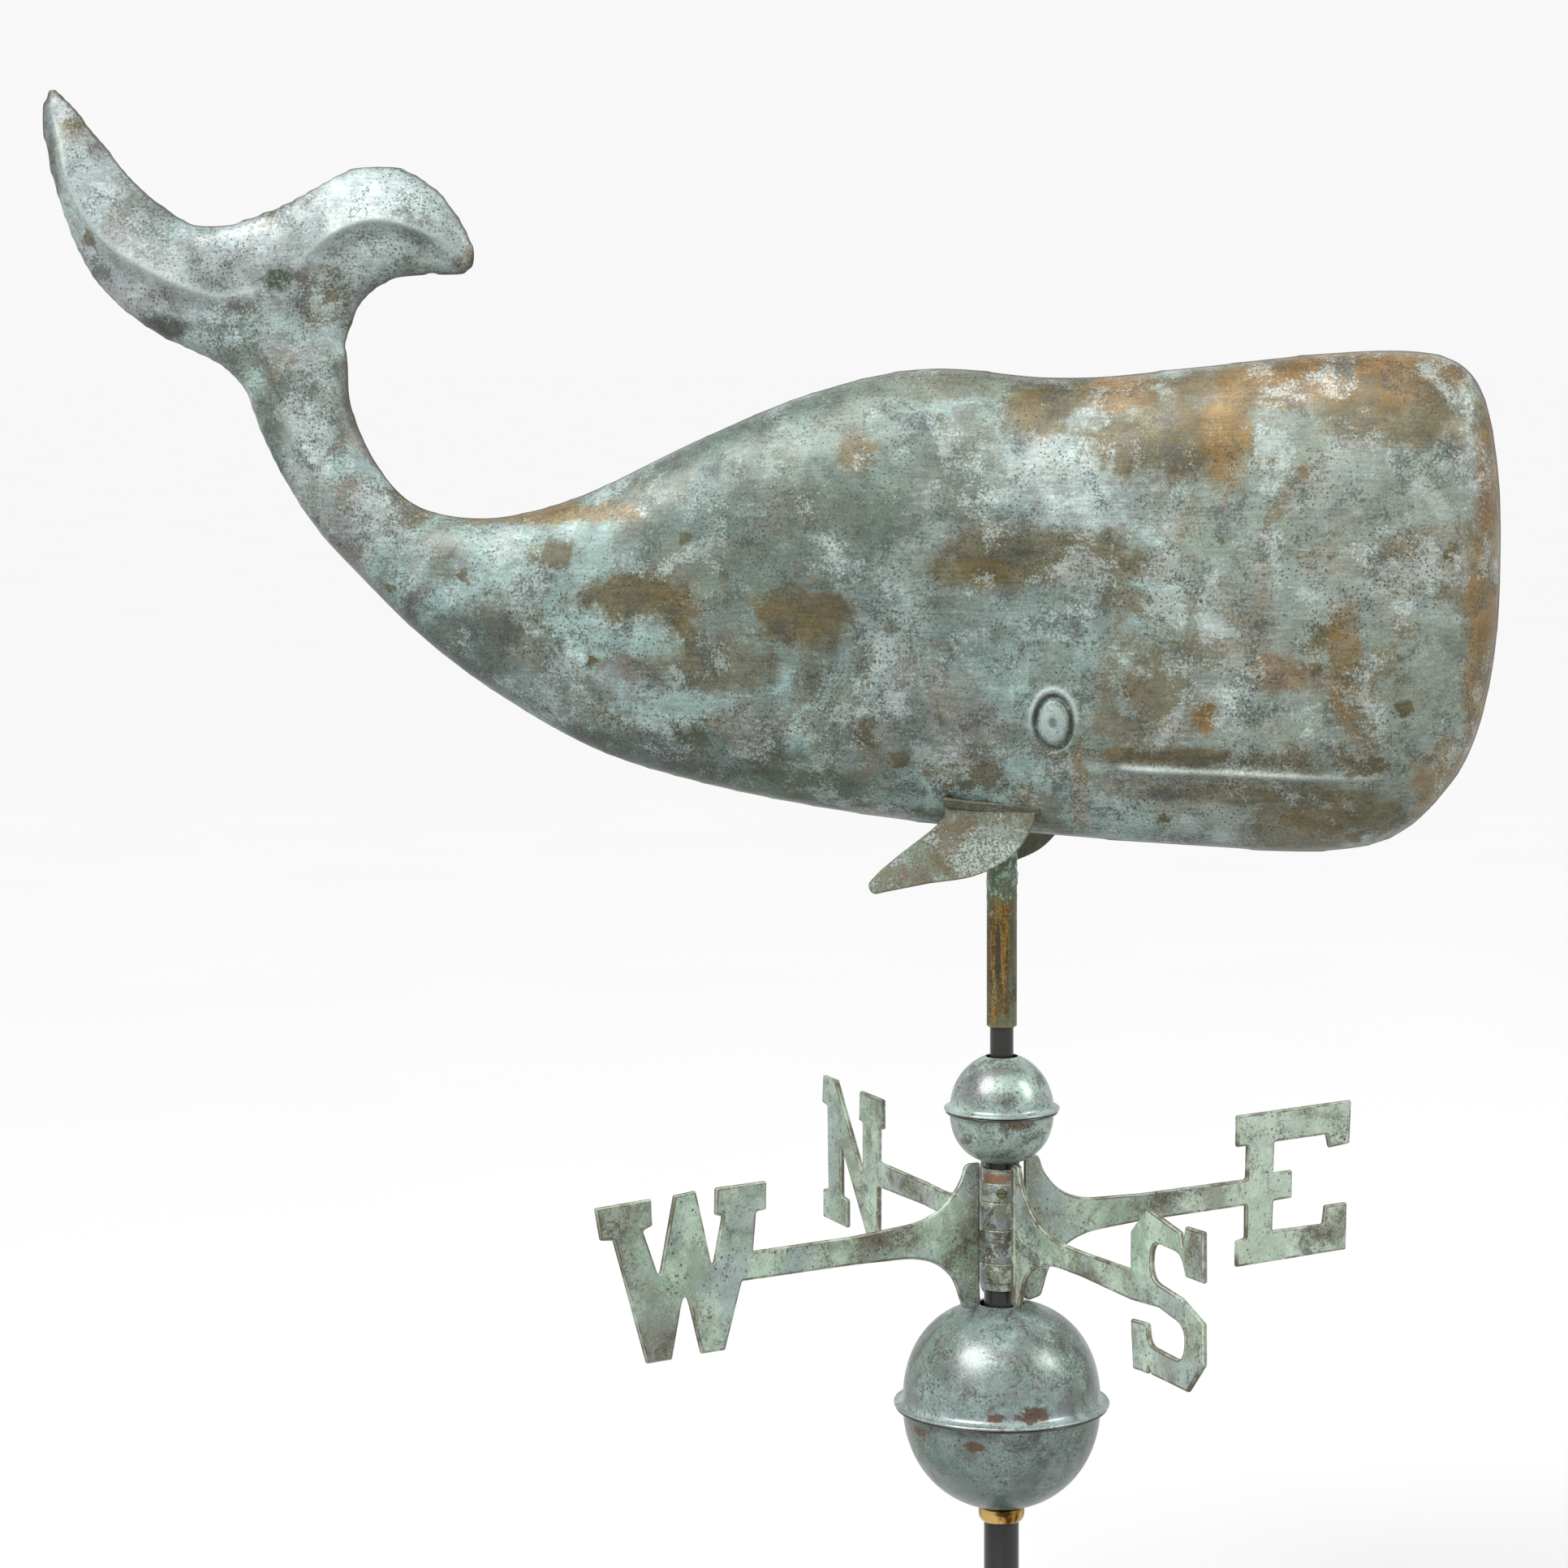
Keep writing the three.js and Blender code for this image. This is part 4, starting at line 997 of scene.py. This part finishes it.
def refine(work):
    """Finer faces around the eye, the mouth and the folds, so that they come out crisp."""
    for line, reach in ((NEAR_RIDGE, 9), (FAR_RIDGE, 9), (STEM_RIDGE, 8), (MOUTH, 11), (EYE_LINE, 20),
                        (EYE_LINE, 15)):
        middles = np.array([(e.verts[0].co + e.verts[1].co) / 2 for e in work.edges])
        near = line_distance(middles[:, [0, 2]], line)[0] < reach
        edges = [e for e, hit in zip(work.edges, near) if hit]
        bmesh.ops.subdivide_edges(work, edges=edges, cuts=1, use_grid_fill=True)


def whale_half(name, side, skin, material, node):
    """One stamped half: the skin on one side of the seam plane, with its relief, as sheet metal."""
    work = bmesh.new()
    work.from_mesh(skin)
    cut = {"plane_co": (0, side * SEAM_HALF_GAP, 0), "plane_no": (0, side, 0), "clear_inner": True}
    bmesh.ops.bisect_plane(work, geom=work.verts[:] + work.edges[:] + work.faces[:], dist=1e-4, **cut)
    refine(work)
    work.normal_update()
    points = np.array([v.co for v in work.verts])
    places = points[:, [0, 2]]
    depth = np.abs(points[:, 1])
    flank = smoothstep(depth, *RELIEF_SPAN)
    bead = SEAM_BEAD * hump(depth, 1.6)
    for v, rise, lift in zip(work.verts, relief(places) * flank, bead):
        outward = Vector((v.normal.x, 0, v.normal.z))
        v.co.y += side * rise
        if outward.length > 0.1:
            v.co += outward.normalized() * lift
    hole = [
        f for f in work.faces
        if math.hypot(*f.calc_center_median().xy) < SLEEVE_HOLE and f.calc_center_median().z < SHELL_MIDDLE_Z
    ]
    bmesh.ops.delete(work, geom=hole, context="FACES")
    points = np.array([v.co for v in work.verts])
    marks = {
        "edge_wear": smoothstep(np.abs(points[:, 1]), 2.6, 0.4),
        "grime": grime(points[:, [0, 2]]),
        # Rubbed pale on the eyeball, painted highlight on the folds, the mouth's ridge and the top of the
        # eye's rim.
        "rubbed_and_highlit": rubbed_and_highlit(points[:, [0, 2]]) * smoothstep(np.abs(points[:, 1]), *RELIEF_SPAN),
    }
    for v in work.verts:
        v.co *= MM
    mesh = bpy.data.meshes.new(name)
    work.to_mesh(mesh)
    work.free()
    for key, values in marks.items():
        mesh.attributes.new(key, "FLOAT", "POINT").data.foreach_set("value", values)
    made = shown(name, mesh, material, "figure", node, sharp=60)
    sheet = made.modifiers.new("sheet", "SOLIDIFY")
    sheet.thickness, sheet.offset = SHELL_WALL * MM, -1
    return made


# ---------- fins ----------

FIN_OUTLINE = [
    (-27, 5, 1), (22, 5, 1), (21, -5, 6), (16, -17, SMOOTH), (6, -28, SMOOTH), (-11, -36, SMOOTH),
    (-34, -39.5, SMOOTH), (-56, -44.5, SMOOTH), (-64, -46.5, SMOOTH), (-67, -41, SMOOTH),
    (-60, -33, SMOOTH), (-50, -24, SMOOTH), (-34, -11, SMOOTH), (-27, -4, 6),
]
FIN_THICKNESS = 1.2
FIN_TILT = 12
FIN_ROOT = (0, -22, 556.5)
FIN_LIP = {"length": 52, "height": 5.2, "thickness": 2.2, "tilt": -34, "slope": 6.5}
LEFT_FIN_FORWARD = 11


def reversed_faces(faces):
    return [face[::-1] for face in faces]


def flank_fin(node, side, forward, material):
    """Sheet fin against a flank, a little curled, with a folded lip along its root."""
    points, faces, wear = plate(filleted(FIN_OUTLINE)[::-1], FIN_THICKNESS, 0.4, spacing=3.5)
    points[:, 1] -= 2.2 * smoothstep(points[:, 2], -10, -46) * (1 + 0.6 * np.sin(points[:, 0] / 14))
    lip = FIN_LIP
    half = lip["length"] / 2
    edge = [(-half, -1, 0.8), (half, -1, 0.8), (half, lip["height"], 1.6), (-half, lip["height"], 1.6)]
    fold_points, fold_faces, fold_wear = plate(filleted(edge), lip["thickness"], 0.8, spacing=3)
    fold_points[:, 2] += 0.35 * np.sin(fold_points[:, 0] / 7)
    root = Matrix.Translation((forward + FIN_ROOT[0], FIN_ROOT[1], FIN_ROOT[2]))
    blade = root @ Matrix.Rotation(math.radians(-FIN_TILT), 4, "X")
    fold = root @ Matrix.Rotation(math.radians(-lip["tilt"]), 4, "X") @ Matrix.Translation((-2, 0, 0))
    fold = fold @ Matrix.Rotation(math.radians(lip["slope"]), 4, "Y")
    chunks = [moved((points, faces, wear), blade), moved((fold_points, fold_faces, fold_wear), fold)]
    if side > 0:
        flip = np.array([1, -1, 1])
        chunks = [(p * flip, reversed_faces(f), w) for p, f, w in chunks]
    return piece(f"{node}_sheet", chunks, material, "figure", node)


# ---------- compass arms ----------

TOP_TAB = [(WEB_INNER_RADIUS, 37, 0.8)]
BROAD_WEB_TOP = TOP_TAB + [(24, 37.3, 4.5), (27.5, 27, SMOOTH), (38, 15.5, SMOOTH), (54, 9, SMOOTH),
                           (95, 6.8, SMOOTH)]
BROAD_WEB_BOTTOM = [(95, -8.6, SMOOTH), (58, -10, SMOOTH), (43, -14.5, SMOOTH), (32, -24, SMOOTH),
                    (25.8, -41.5, 4), (18, -43, 4), (14.5, -41, 3), (WEB_INNER_RADIUS, -30, 1)]
SLIM_WEB_TOP = TOP_TAB + [(21.5, 37.3, 4.5), (25.5, 25, SMOOTH), (40, 12, SMOOTH), (62, 5.5, SMOOTH),
                          (95, 6.2, SMOOTH)]
SLIM_WEB_BOTTOM = [(95, -7.4, SMOOTH), (62, -8.4, SMOOTH), (41, -13.5, SMOOTH), (29, -23, SMOOTH),
                   (23, -39.5, 4), (16.5, -42, 4), (WEB_INNER_RADIUS, -38, 1)]
WEBS = {"east": "broad", "west": "broad", "north": "slim", "south": "slim"}

# Each letter runs from the arm's top edge round to its bottom edge, as radius and height from the
# hub's middle, with its own corner radius where it isn't the usual one.
CORNER = 1.3
LETTERS = {
    "east": [
        (168, 6), (168.5, 25), (161, 25), (161, 43), (244, 43), (243, 18), (228, 17), (226, 25), (188, 25),
        (187.5, 7.5), (201, 7.5), (201, -8.7), (187.5, -8.7), (187, -25.6), (224, -26.5), (225.5, -16),
        (241.5, -16), (241, -43.5), (161, -43.5), (161, -28.5), (167.5, -27.5), (167.5, -9),
    ],
    "west": [
        (158.5, 7), (156.5, 27.5), (150.5, 28), (150, 43), (181, 43), (181.5, 29), (177, 27.5), (183, 0.5),
        (193, 43), (206, 42), (215, 0), (224.5, 26), (219, 28), (219.5, 42), (252.5, 41), (249.5, 24),
        (242, 23), (223, -43.5), (208, -43.5), (200, -5, 3), (190.5, -43), (176, -43), (165.5, -8),
    ],
    "north": [
        (156.5, 6), (156, 25.5), (151, 25.5), (151, 43), (182, 43), (183, 25.5), (178, 25), (178.5, -6),
        (216, 43.5), (234, 43.5), (235.5, 27), (228, 26), (227, -23.5), (234.5, -25), (234.5, -42),
        (200.5, -42), (200.5, -25), (208.5, -24.5), (208.5, 6), (171, -43), (157, -43), (156.5, -9),
    ],
    "south": [
        (148, 8.5), (148, 28), (165, 43.5), (199, 38), (201.5, 30, 0.4), (204.5, 42, 0.8), (222.5, 43),
        (223, 17), (205, 16.5), (200, 27, 9), (170, 27.5, 10), (169.5, 8, 9), (200, 5, 8), (223, -3),
        (223.5, -24), (207.5, -41), (170.5, -41), (168.5, -37.5, 0.4), (166, -41.5, 0.8), (151, -42.5),
        (148.5, -17), (166, -15.5), (168, -26, 9), (203, -27, 9), (205, -9, 9), (178, -5, 9), (148, -7.5),
    ],
}
KNUCKLES = {"north": (15.4, 25.5), "south": (0.15, 15.1), "west": (-18.1, -0.15), "east": (-28.8, -18.4)}
NORTH_AZIMUTH = EAST_AZIMUTH + NS_TURN
AZIMUTHS = {"east": EAST_AZIMUTH, "west": EAST_AZIMUTH + 180, "north": NORTH_AZIMUTH,
            "south": NORTH_AZIMUTH + 180}
LIP_EDGE = [(15.2, -39.5, 2), (20, -39.5, 2.5), (20, 36, 2.5), (15.2, 36, 1)]
LIP_THICKNESS = 5.2


def arm_outline(direction):
    if WEBS[direction] == "broad":
        top, bottom = BROAD_WEB_TOP, BROAD_WEB_BOTTOM
    else:
        top, bottom = SLIM_WEB_TOP, SLIM_WEB_BOTTOM
    letter = [(*corner, CORNER) if len(corner) == 2 else corner for corner in LETTERS[direction]]
    return filleted(top + letter + bottom)[::-1]


def compass_arm(direction, material, knuckle_material, body):
    """A cast arm: letter, bar and web in one plate, with a lip beside its knuckle."""
    bottom, top = KNUCKLES[direction]
    blade = plate(arm_outline(direction), PLATE_THICKNESS, PLATE_CHAMFER, spacing=4.5)
    root_edge = [(KNUCKLE_INNER + 0.3, bottom + 0.5, 0), (WEB_INNER_RADIUS + 3, bottom + 0.5, 0),
                 (WEB_INNER_RADIUS + 3, top - 0.5, 0), (KNUCKLE_INNER + 0.3, top - 0.5, 0)]
    root = plate(filleted(root_edge), PLATE_THICKNESS - 0.2, 0.3, spacing=3)
    knuckle = tube(KNUCKLE_INNER, KNUCKLE_OUTER, bottom, top, 0.7)
    turn = turn_z(AZIMUTHS[direction], HUB_Z)
    chunks = [moved(blade, turn), moved(root, turn)]
    if WEBS[direction] == "slim":
        lip = plate(filleted(LIP_EDGE), LIP_THICKNESS, 1.6, spacing=4)
        chunks.append(moved(lip, turn))
    piece(f"{direction}_arm_casting", chunks, material, body, f"{direction}_arm")
    ring = [moved(knuckle, turn)]
    piece(f"{direction}_knuckle", ring, knuckle_material, body, None)


# ---------- balls, rods, sleeve and small parts ----------


def bowl(radius, rim_z, depth, power, hole, rim, flare, upwards):
    """A spun bowl over a flat rim: its crown, a flare into the rim, a rolled edge and the inside."""
    def wall(reach, height, foot, count):
        start = math.asin((foot / height) ** (power / 2))
        end = math.acos((hole / reach) ** (power / 2))
        return [(reach * math.cos(a) ** (2 / power), height * math.sin(a) ** (2 / power), 0)
                for a in np.linspace(start, end, count)]

    edge = RIM_THICKNESS / 2
    outside = wall(radius, depth, RIM_THICKNESS + flare, 42)
    outline = wall(radius - BALL_WALL, depth - BALL_WALL, GAP, 30)[::-1]
    outline.append((rim - edge, GAP / 2, 0.3))
    for angle in np.linspace(-1.2, 1.2, 5):
        outline.append((rim - edge + edge * math.cos(angle), edge * (1 + math.sin(angle)) + 0.1, 1))
    side = outside[0][0]
    for angle in np.linspace(0, math.pi / 2, 6):
        reach = rim - edge - side
        outline.append((side + reach * (1 - math.sin(angle)), RIM_THICKNESS + flare * (1 - math.cos(angle)),
                        0.35 if angle < 0.5 else 0))
    outline += outside[1:]
    outline[-1] = (*outline[-1][:2], 1)
    outline[0] = (*outline[0][:2], 1)
    sign = 1 if upwards else -1
    return turned([(r, rim_z + sign * z, w) for r, z, w in outline], 128)


SLEEVE_WALL = 1.35
CRUST_SPAN = (502, 516)  # the heights where the crust begins and where it is full
SOLDER_Z = 543


def crusted_sleeve(material):
    """The brass tube the whale turns on, with crust of old solder under the belly."""
    radius, bottom, top = round_node("pivot_sleeve")
    bore = radius - SLEEVE_WALL
    rows = [(bore, bottom + 0.4, 0), (bore + 0.4, bottom, 0.8), (radius - 0.4, bottom, 1),
            (radius, bottom + 0.5, 1), (radius, bottom + 2, 0)]
    rows += [(radius, z, 0) for z in np.arange(bottom + 10, 490, 8)]
    rows += [(radius, z, 0) for z in np.arange(490, 552, 1.0)]
    rows += [(radius, top - 0.4, 0), (radius - 0.4, top, 1), (bore, top, 0)]
    points, faces, wear = turned(rows, 72)
    outside = np.hypot(points[:, 0], points[:, 1]) > radius - 0.1
    for i in np.flatnonzero(outside):
        x, y, z = points[i]
        crust = smoothstep(z, *CRUST_SPAN)
        lump = noise.fractal(Vector((x / 7, y / 7, z / 6)), 0.8, 2.0, 3)
        grow = 1 + (0.12 * crust * max(0.0, lump + 0.1) + 0.006 * lump)
        points[i, 0], points[i, 1] = x * grow, y * grow
    return piece("pivot_tube", [(points, faces, wear)], material, "figure", "pivot_sleeve")


def belly_solder(material):
    """Lumpy bead of solder that holds the sleeve in the belly."""
    radius = round_node("pivot_sleeve")[0]
    section = [(radius - 0.2 + 3.4 * (1 + math.cos(a)) / 2, SOLDER_Z + 5 * math.sin(a), 0)
               for a in np.linspace(0, 2 * math.pi, 16, endpoint=False)]
    points, faces, wear = turned(section, 64)
    for i, (x, y, z) in enumerate(points):
        reach = math.hypot(x, y)
        if reach > radius:
            lump = 1 + 0.16 * noise.fractal(Vector((x / 6, y / 6, z / 6)), 0.8, 2.0, 3)
            points[i] = (x * lump, y * lump, z + 1.5 * noise.noise(Vector((x / 5, y / 5, 3))))
    return piece("belly_solder", [(points, faces, wear)], material, "figure", None)


def arc(radius, angles):
    return np.array([(radius * math.cos(a), radius * math.sin(a)) for a in angles])


def grub_screw(node, name, inner, length, azimuth, z, material, body):
    """A slotted screw that points outwards from the rod."""
    slot_depth, slot_half = 0.8, 0.4
    start = math.asin(slot_half / SCREW_RADIUS)
    half = arc(SCREW_RADIUS, np.linspace(start, math.pi - start, 14))
    disc = arc(SCREW_RADIUS, np.linspace(0, 2 * math.pi, 28, endpoint=False))
    turn_outward = Matrix.Rotation(math.radians(azimuth), 4, "Z")
    facing = Matrix.Rotation(math.radians(90), 4, "Z")
    base = turn_outward @ Matrix.Translation((inner + (length - slot_depth) / 2, 0, z)) @ facing
    head = turn_outward @ Matrix.Translation((inner + length - slot_depth / 2, 0, z)) @ facing
    chunks = [moved(plate(disc, length - slot_depth, 0.15, 1.6), base)]
    for flip in (0, 180):
        side = head @ Matrix.Rotation(math.radians(flip), 4, "Y")
        chunks.append(moved(plate(half, slot_depth, 0.2, 1.2), side))
    return piece(name, chunks, material, body, node)


def drilled(made, azimuth, z, radius):
    """Drills a round hole into a piece from outside, at an azimuth and a height in mm."""
    drill = bpy.data.meshes.new("drill")
    work = bmesh.new()
    turn = Matrix.Rotation(math.radians(azimuth), 4, "Z") @ Matrix.Translation((12 * MM, 0, z * MM))
    bmesh.ops.create_cone(
        work, cap_ends=True, segments=32, radius1=radius * MM, radius2=radius * MM, depth=9 * MM,
        matrix=turn @ Matrix.Rotation(math.radians(90), 4, "Y"),
    )
    work.to_mesh(drill)
    work.free()
    tool = linked("drill", drill)
    cut = made.modifiers.new("hole", "BOOLEAN")
    cut.operation, cut.solver, cut.object = "DIFFERENCE", "EXACT", tool
    view = bpy.context.evaluated_depsgraph_get()
    result = bpy.data.meshes.new_from_object(made.evaluated_get(view))
    made.modifiers.remove(cut)
    result.set_sharp_from_angle(angle=math.radians(35))
    made.data = result
    bpy.data.objects.remove(tool)


def ball_halves(size, shape, material):
    for half, upwards in (("top", True), ("bottom", False)):
        shell = bowl(shape["radius"], shape["rim_z"], *shape[half], upwards)
        node = f"{size}_ball_{half}_shell"
        piece(f"{size}_ball_{half}_bowl", [shell], material, "mast", node)


def rods_and_collar(black, brass):
    radius, bottom, top = round_node("lower_rod")
    thin, thin_bottom, thin_top = round_node("upper_rod")
    socket, floor = thin + GAP, thin_bottom - GAP
    outline = soft_profile([
        (NEAR_AXIS, bottom, 0), (radius, bottom, 1), (radius, top, 1), (socket, top, 0.3),
        (socket, floor, 0), (NEAR_AXIS, floor, 0),
    ])
    piece("lower_rod_bar", [turned(outline)], black, "mast", "lower_rod")
    thin_bar = bar(thin, thin_bottom, thin_top, 1)
    piece("upper_rod_bar", [thin_bar], black, "mast", "upper_rod")
    outer, low, high = round_node("rod_collar")
    ring = soft_profile([
        (radius + GAP, low, 0.3), (outer - 2.4, low, 0.3), (outer - 1.4, low + 0.7, 0),
        (outer - 0.5, low + 2, 0), (outer, low + 4, 0), (outer, high - 1.6, 0),
        (outer - 0.6, high, 0.5), (radius + GAP, high, 0.3),
    ])
    piece("polished_collar", [turned(ring, 128)], brass, "mast", "rod_collar")


# Set screws: azimuth, length, body, slot and the pieces drilled for each.
SCREW_RADIUS = 2.5
SCREWS = {
    "ns_set_screw": (278, 2.1, "ns_arms", "aged_brass", ("north_knuckle", "ns_hub_sleeve_tube")),
    "ew_set_screw": (98, 2.1, "ew_arms", "aged_brass", ("east_knuckle", "ew_hub_sleeve_tube")),
    "collar_set_screw": (98, 2.4, "mast", "bright_steel", ("polished_collar",)),
}


def set_screws(materials):
    inner = round_node("lower_rod")[0] + GAP
    for node, (azimuth, length, body, slot, drilled_pieces) in SCREWS.items():
        low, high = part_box(node)
        z = (low[2] + high[2]) / 2 / MM
        grub_screw(node, f"{node}_slotted", inner, length, azimuth, z, materials[slot], body)
        for name in drilled_pieces:
            drilled(bpy.data.objects[name], azimuth, z, SCREW_RADIUS + GAP)


# ---------- studio ----------

CAMERA_PLACE = (0.3166, -2.1219, 0.812)
CAMERA_AZIMUTH, CAMERA_ELEVATION, CAMERA_ROLL = 11.59, 6.48, -0.31
CAMERA_LENS, CAMERA_SENSOR = 92.87, 36.0
AIM = Vector((-0.1, 0, 0.5))

SKY = 0.94  # brightness of the sky and of the lit floor, against plain white

# Lamps, each in a direction along the camera's right, up and back.
KEY_FROM, KEY_POWER, KEY_ANGLE = (-0.53, 0.69, 0.49), 4.8, 32
FILL_FROM, FILL_DISTANCE, FILL_SIZE, FILL_POWER = (-0.11, 0.64, 0.76), 2.6, (0.25, 0.25), 9
STRIP_FROM, STRIP_DISTANCE, STRIP_SIZE, STRIP_POWER = (0.79, 0.49, 0.36), 2.4, (0.3, 1.0), 34


def camera_axes():
    a, e = math.radians(CAMERA_AZIMUTH), math.radians(CAMERA_ELEVATION)
    back = Vector((math.sin(a) * math.cos(e), -math.cos(a) * math.cos(e), math.sin(e)))
    return back.to_track_quat("Z", "Y") @ Matrix.Rotation(math.radians(CAMERA_ROLL), 3, "Z").to_quaternion()


def place_camera():
    data = bpy.data.cameras.new("camera")
    data.lens, data.sensor_width = CAMERA_LENS, CAMERA_SENSOR
    made = linked("camera", data)
    made.rotation_mode = "QUATERNION"
    made.location, made.rotation_quaternion = CAMERA_PLACE, camera_axes()
    bpy.context.scene.camera = made


def aimed_lamp(name, data, direction):
    """A lamp that shines from a direction along the camera's right, up and back, and the way to it."""
    made = linked(name, data)
    away = camera_axes() @ Vector(direction).normalized()
    made.rotation_mode = "QUATERNION"
    made.rotation_quaternion = away.to_track_quat("Z", "Y")
    return made, away


def softbox(name, direction, distance, size, power):
    """A soft lamp in a direction given along the camera's right, up and back."""
    data = bpy.data.lights.new(name, "AREA")
    data.shape, data.size, data.size_y, data.energy = "RECTANGLE", size[0], size[1], power
    made, away = aimed_lamp(name, data, direction)
    made.location = AIM + away * distance


def key_light():
    """A broad, distant key lamp up and to the left of the camera. Gives the way to it."""
    data = bpy.data.lights.new("key", "SUN")
    data.energy, data.angle = KEY_POWER, math.radians(KEY_ANGLE)
    return aimed_lamp("key", data, KEY_FROM)[1]


def studio():
    """A plain pale floor, an even sky, a broad key lamp and two soft lamps by the camera."""
    to_key = key_light()
    size = 60
    mesh = bpy.data.meshes.new("floor")
    corners = [(-size, -size, 0), (size, -size, 0), (size, size, 0), (-size, size, 0)]
    mesh.from_pydata(corners, [], [(0, 1, 2, 3)])
    floor = linked("floor", mesh)
    f = Finish("floor_paint")
    paint = SKY / (SKY + KEY_POWER * to_key.z / math.pi)  # so that the lit floor is as bright as the sky
    f.colour = f.grey(f.spread(f.cloud(3, 3, 0.5), 0.99 * paint, paint))
    mesh.materials.append(f.shader(0.9, 0.0, [], Specular_IOR_Level=0.0))
    world = bpy.data.worlds.new("studio")
    world.use_nodes = True
    world.node_tree.nodes["Background"].inputs["Color"].default_value = (SKY, SKY, SKY, 1)
    bpy.context.scene.world = world
    bpy.context.scene.view_settings.view_transform = "Standard"
    softbox("fill", FILL_FROM, FILL_DISTANCE, FILL_SIZE, FILL_POWER)
    softbox("strip", STRIP_FROM, STRIP_DISTANCE, STRIP_SIZE, STRIP_POWER)
    place_camera()


# ---------- assembly ----------


def build():
    finishes = {
        "whale": whale_finish(), "fin": fin_finish(), "cast": cast_finish(), "hub": hub_finish(),
        "ball": ball_finish(), "sleeve": sleeve_finish(), "brass": brass_finish(),
        "black": black_finish(), "steel": steel_finish(),
    }
    skin = fused_whale()
    whale_half("whale_right_half", -1, skin, finishes["whale"], "right_shell")
    whale_half("whale_left_half", 1, skin, finishes["whale"], "left_shell")
    flank_fin("right_fin", -1, 0, finishes["fin"])
    flank_fin("left_fin", 1, LEFT_FIN_FORWARD, finishes["fin"])
    crusted_sleeve(finishes["sleeve"])
    belly_solder(finishes["sleeve"])
    for direction in ("east", "west"):
        compass_arm(direction, finishes["cast"], finishes["hub"], "ew_arms")
    for direction in ("north", "south"):
        compass_arm(direction, finishes["cast"], finishes["hub"], "ns_arms")
    for node, body in (("ns_hub_sleeve", "ns_arms"), ("ew_hub_sleeve", "ew_arms")):
        radius, bottom, top = round_node(node)
        sleeve = tube(HUB_SLEEVE_INNER, radius, bottom, top, 0.35)
        piece(f"{node}_tube", [sleeve], finishes["hub"], body, node)
    for size, shape in (("small", SMALL_BALL), ("large", LARGE_BALL)):
        ball_halves(size, shape, finishes["ball"])
    rods_and_collar(finishes["black"], finishes["brass"])
    set_screws({"aged_brass": finishes["sleeve"], "bright_steel": finishes["steel"]})
    for node, finish in (("bearing_ball", "steel"), ("sleeve_plug", "brass"), ("belly_brace", "sleeve"),
                         ("back_brace", "sleeve")):
        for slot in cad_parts[node].material_slots:
            slot.material = finishes[finish]


studio()
build()
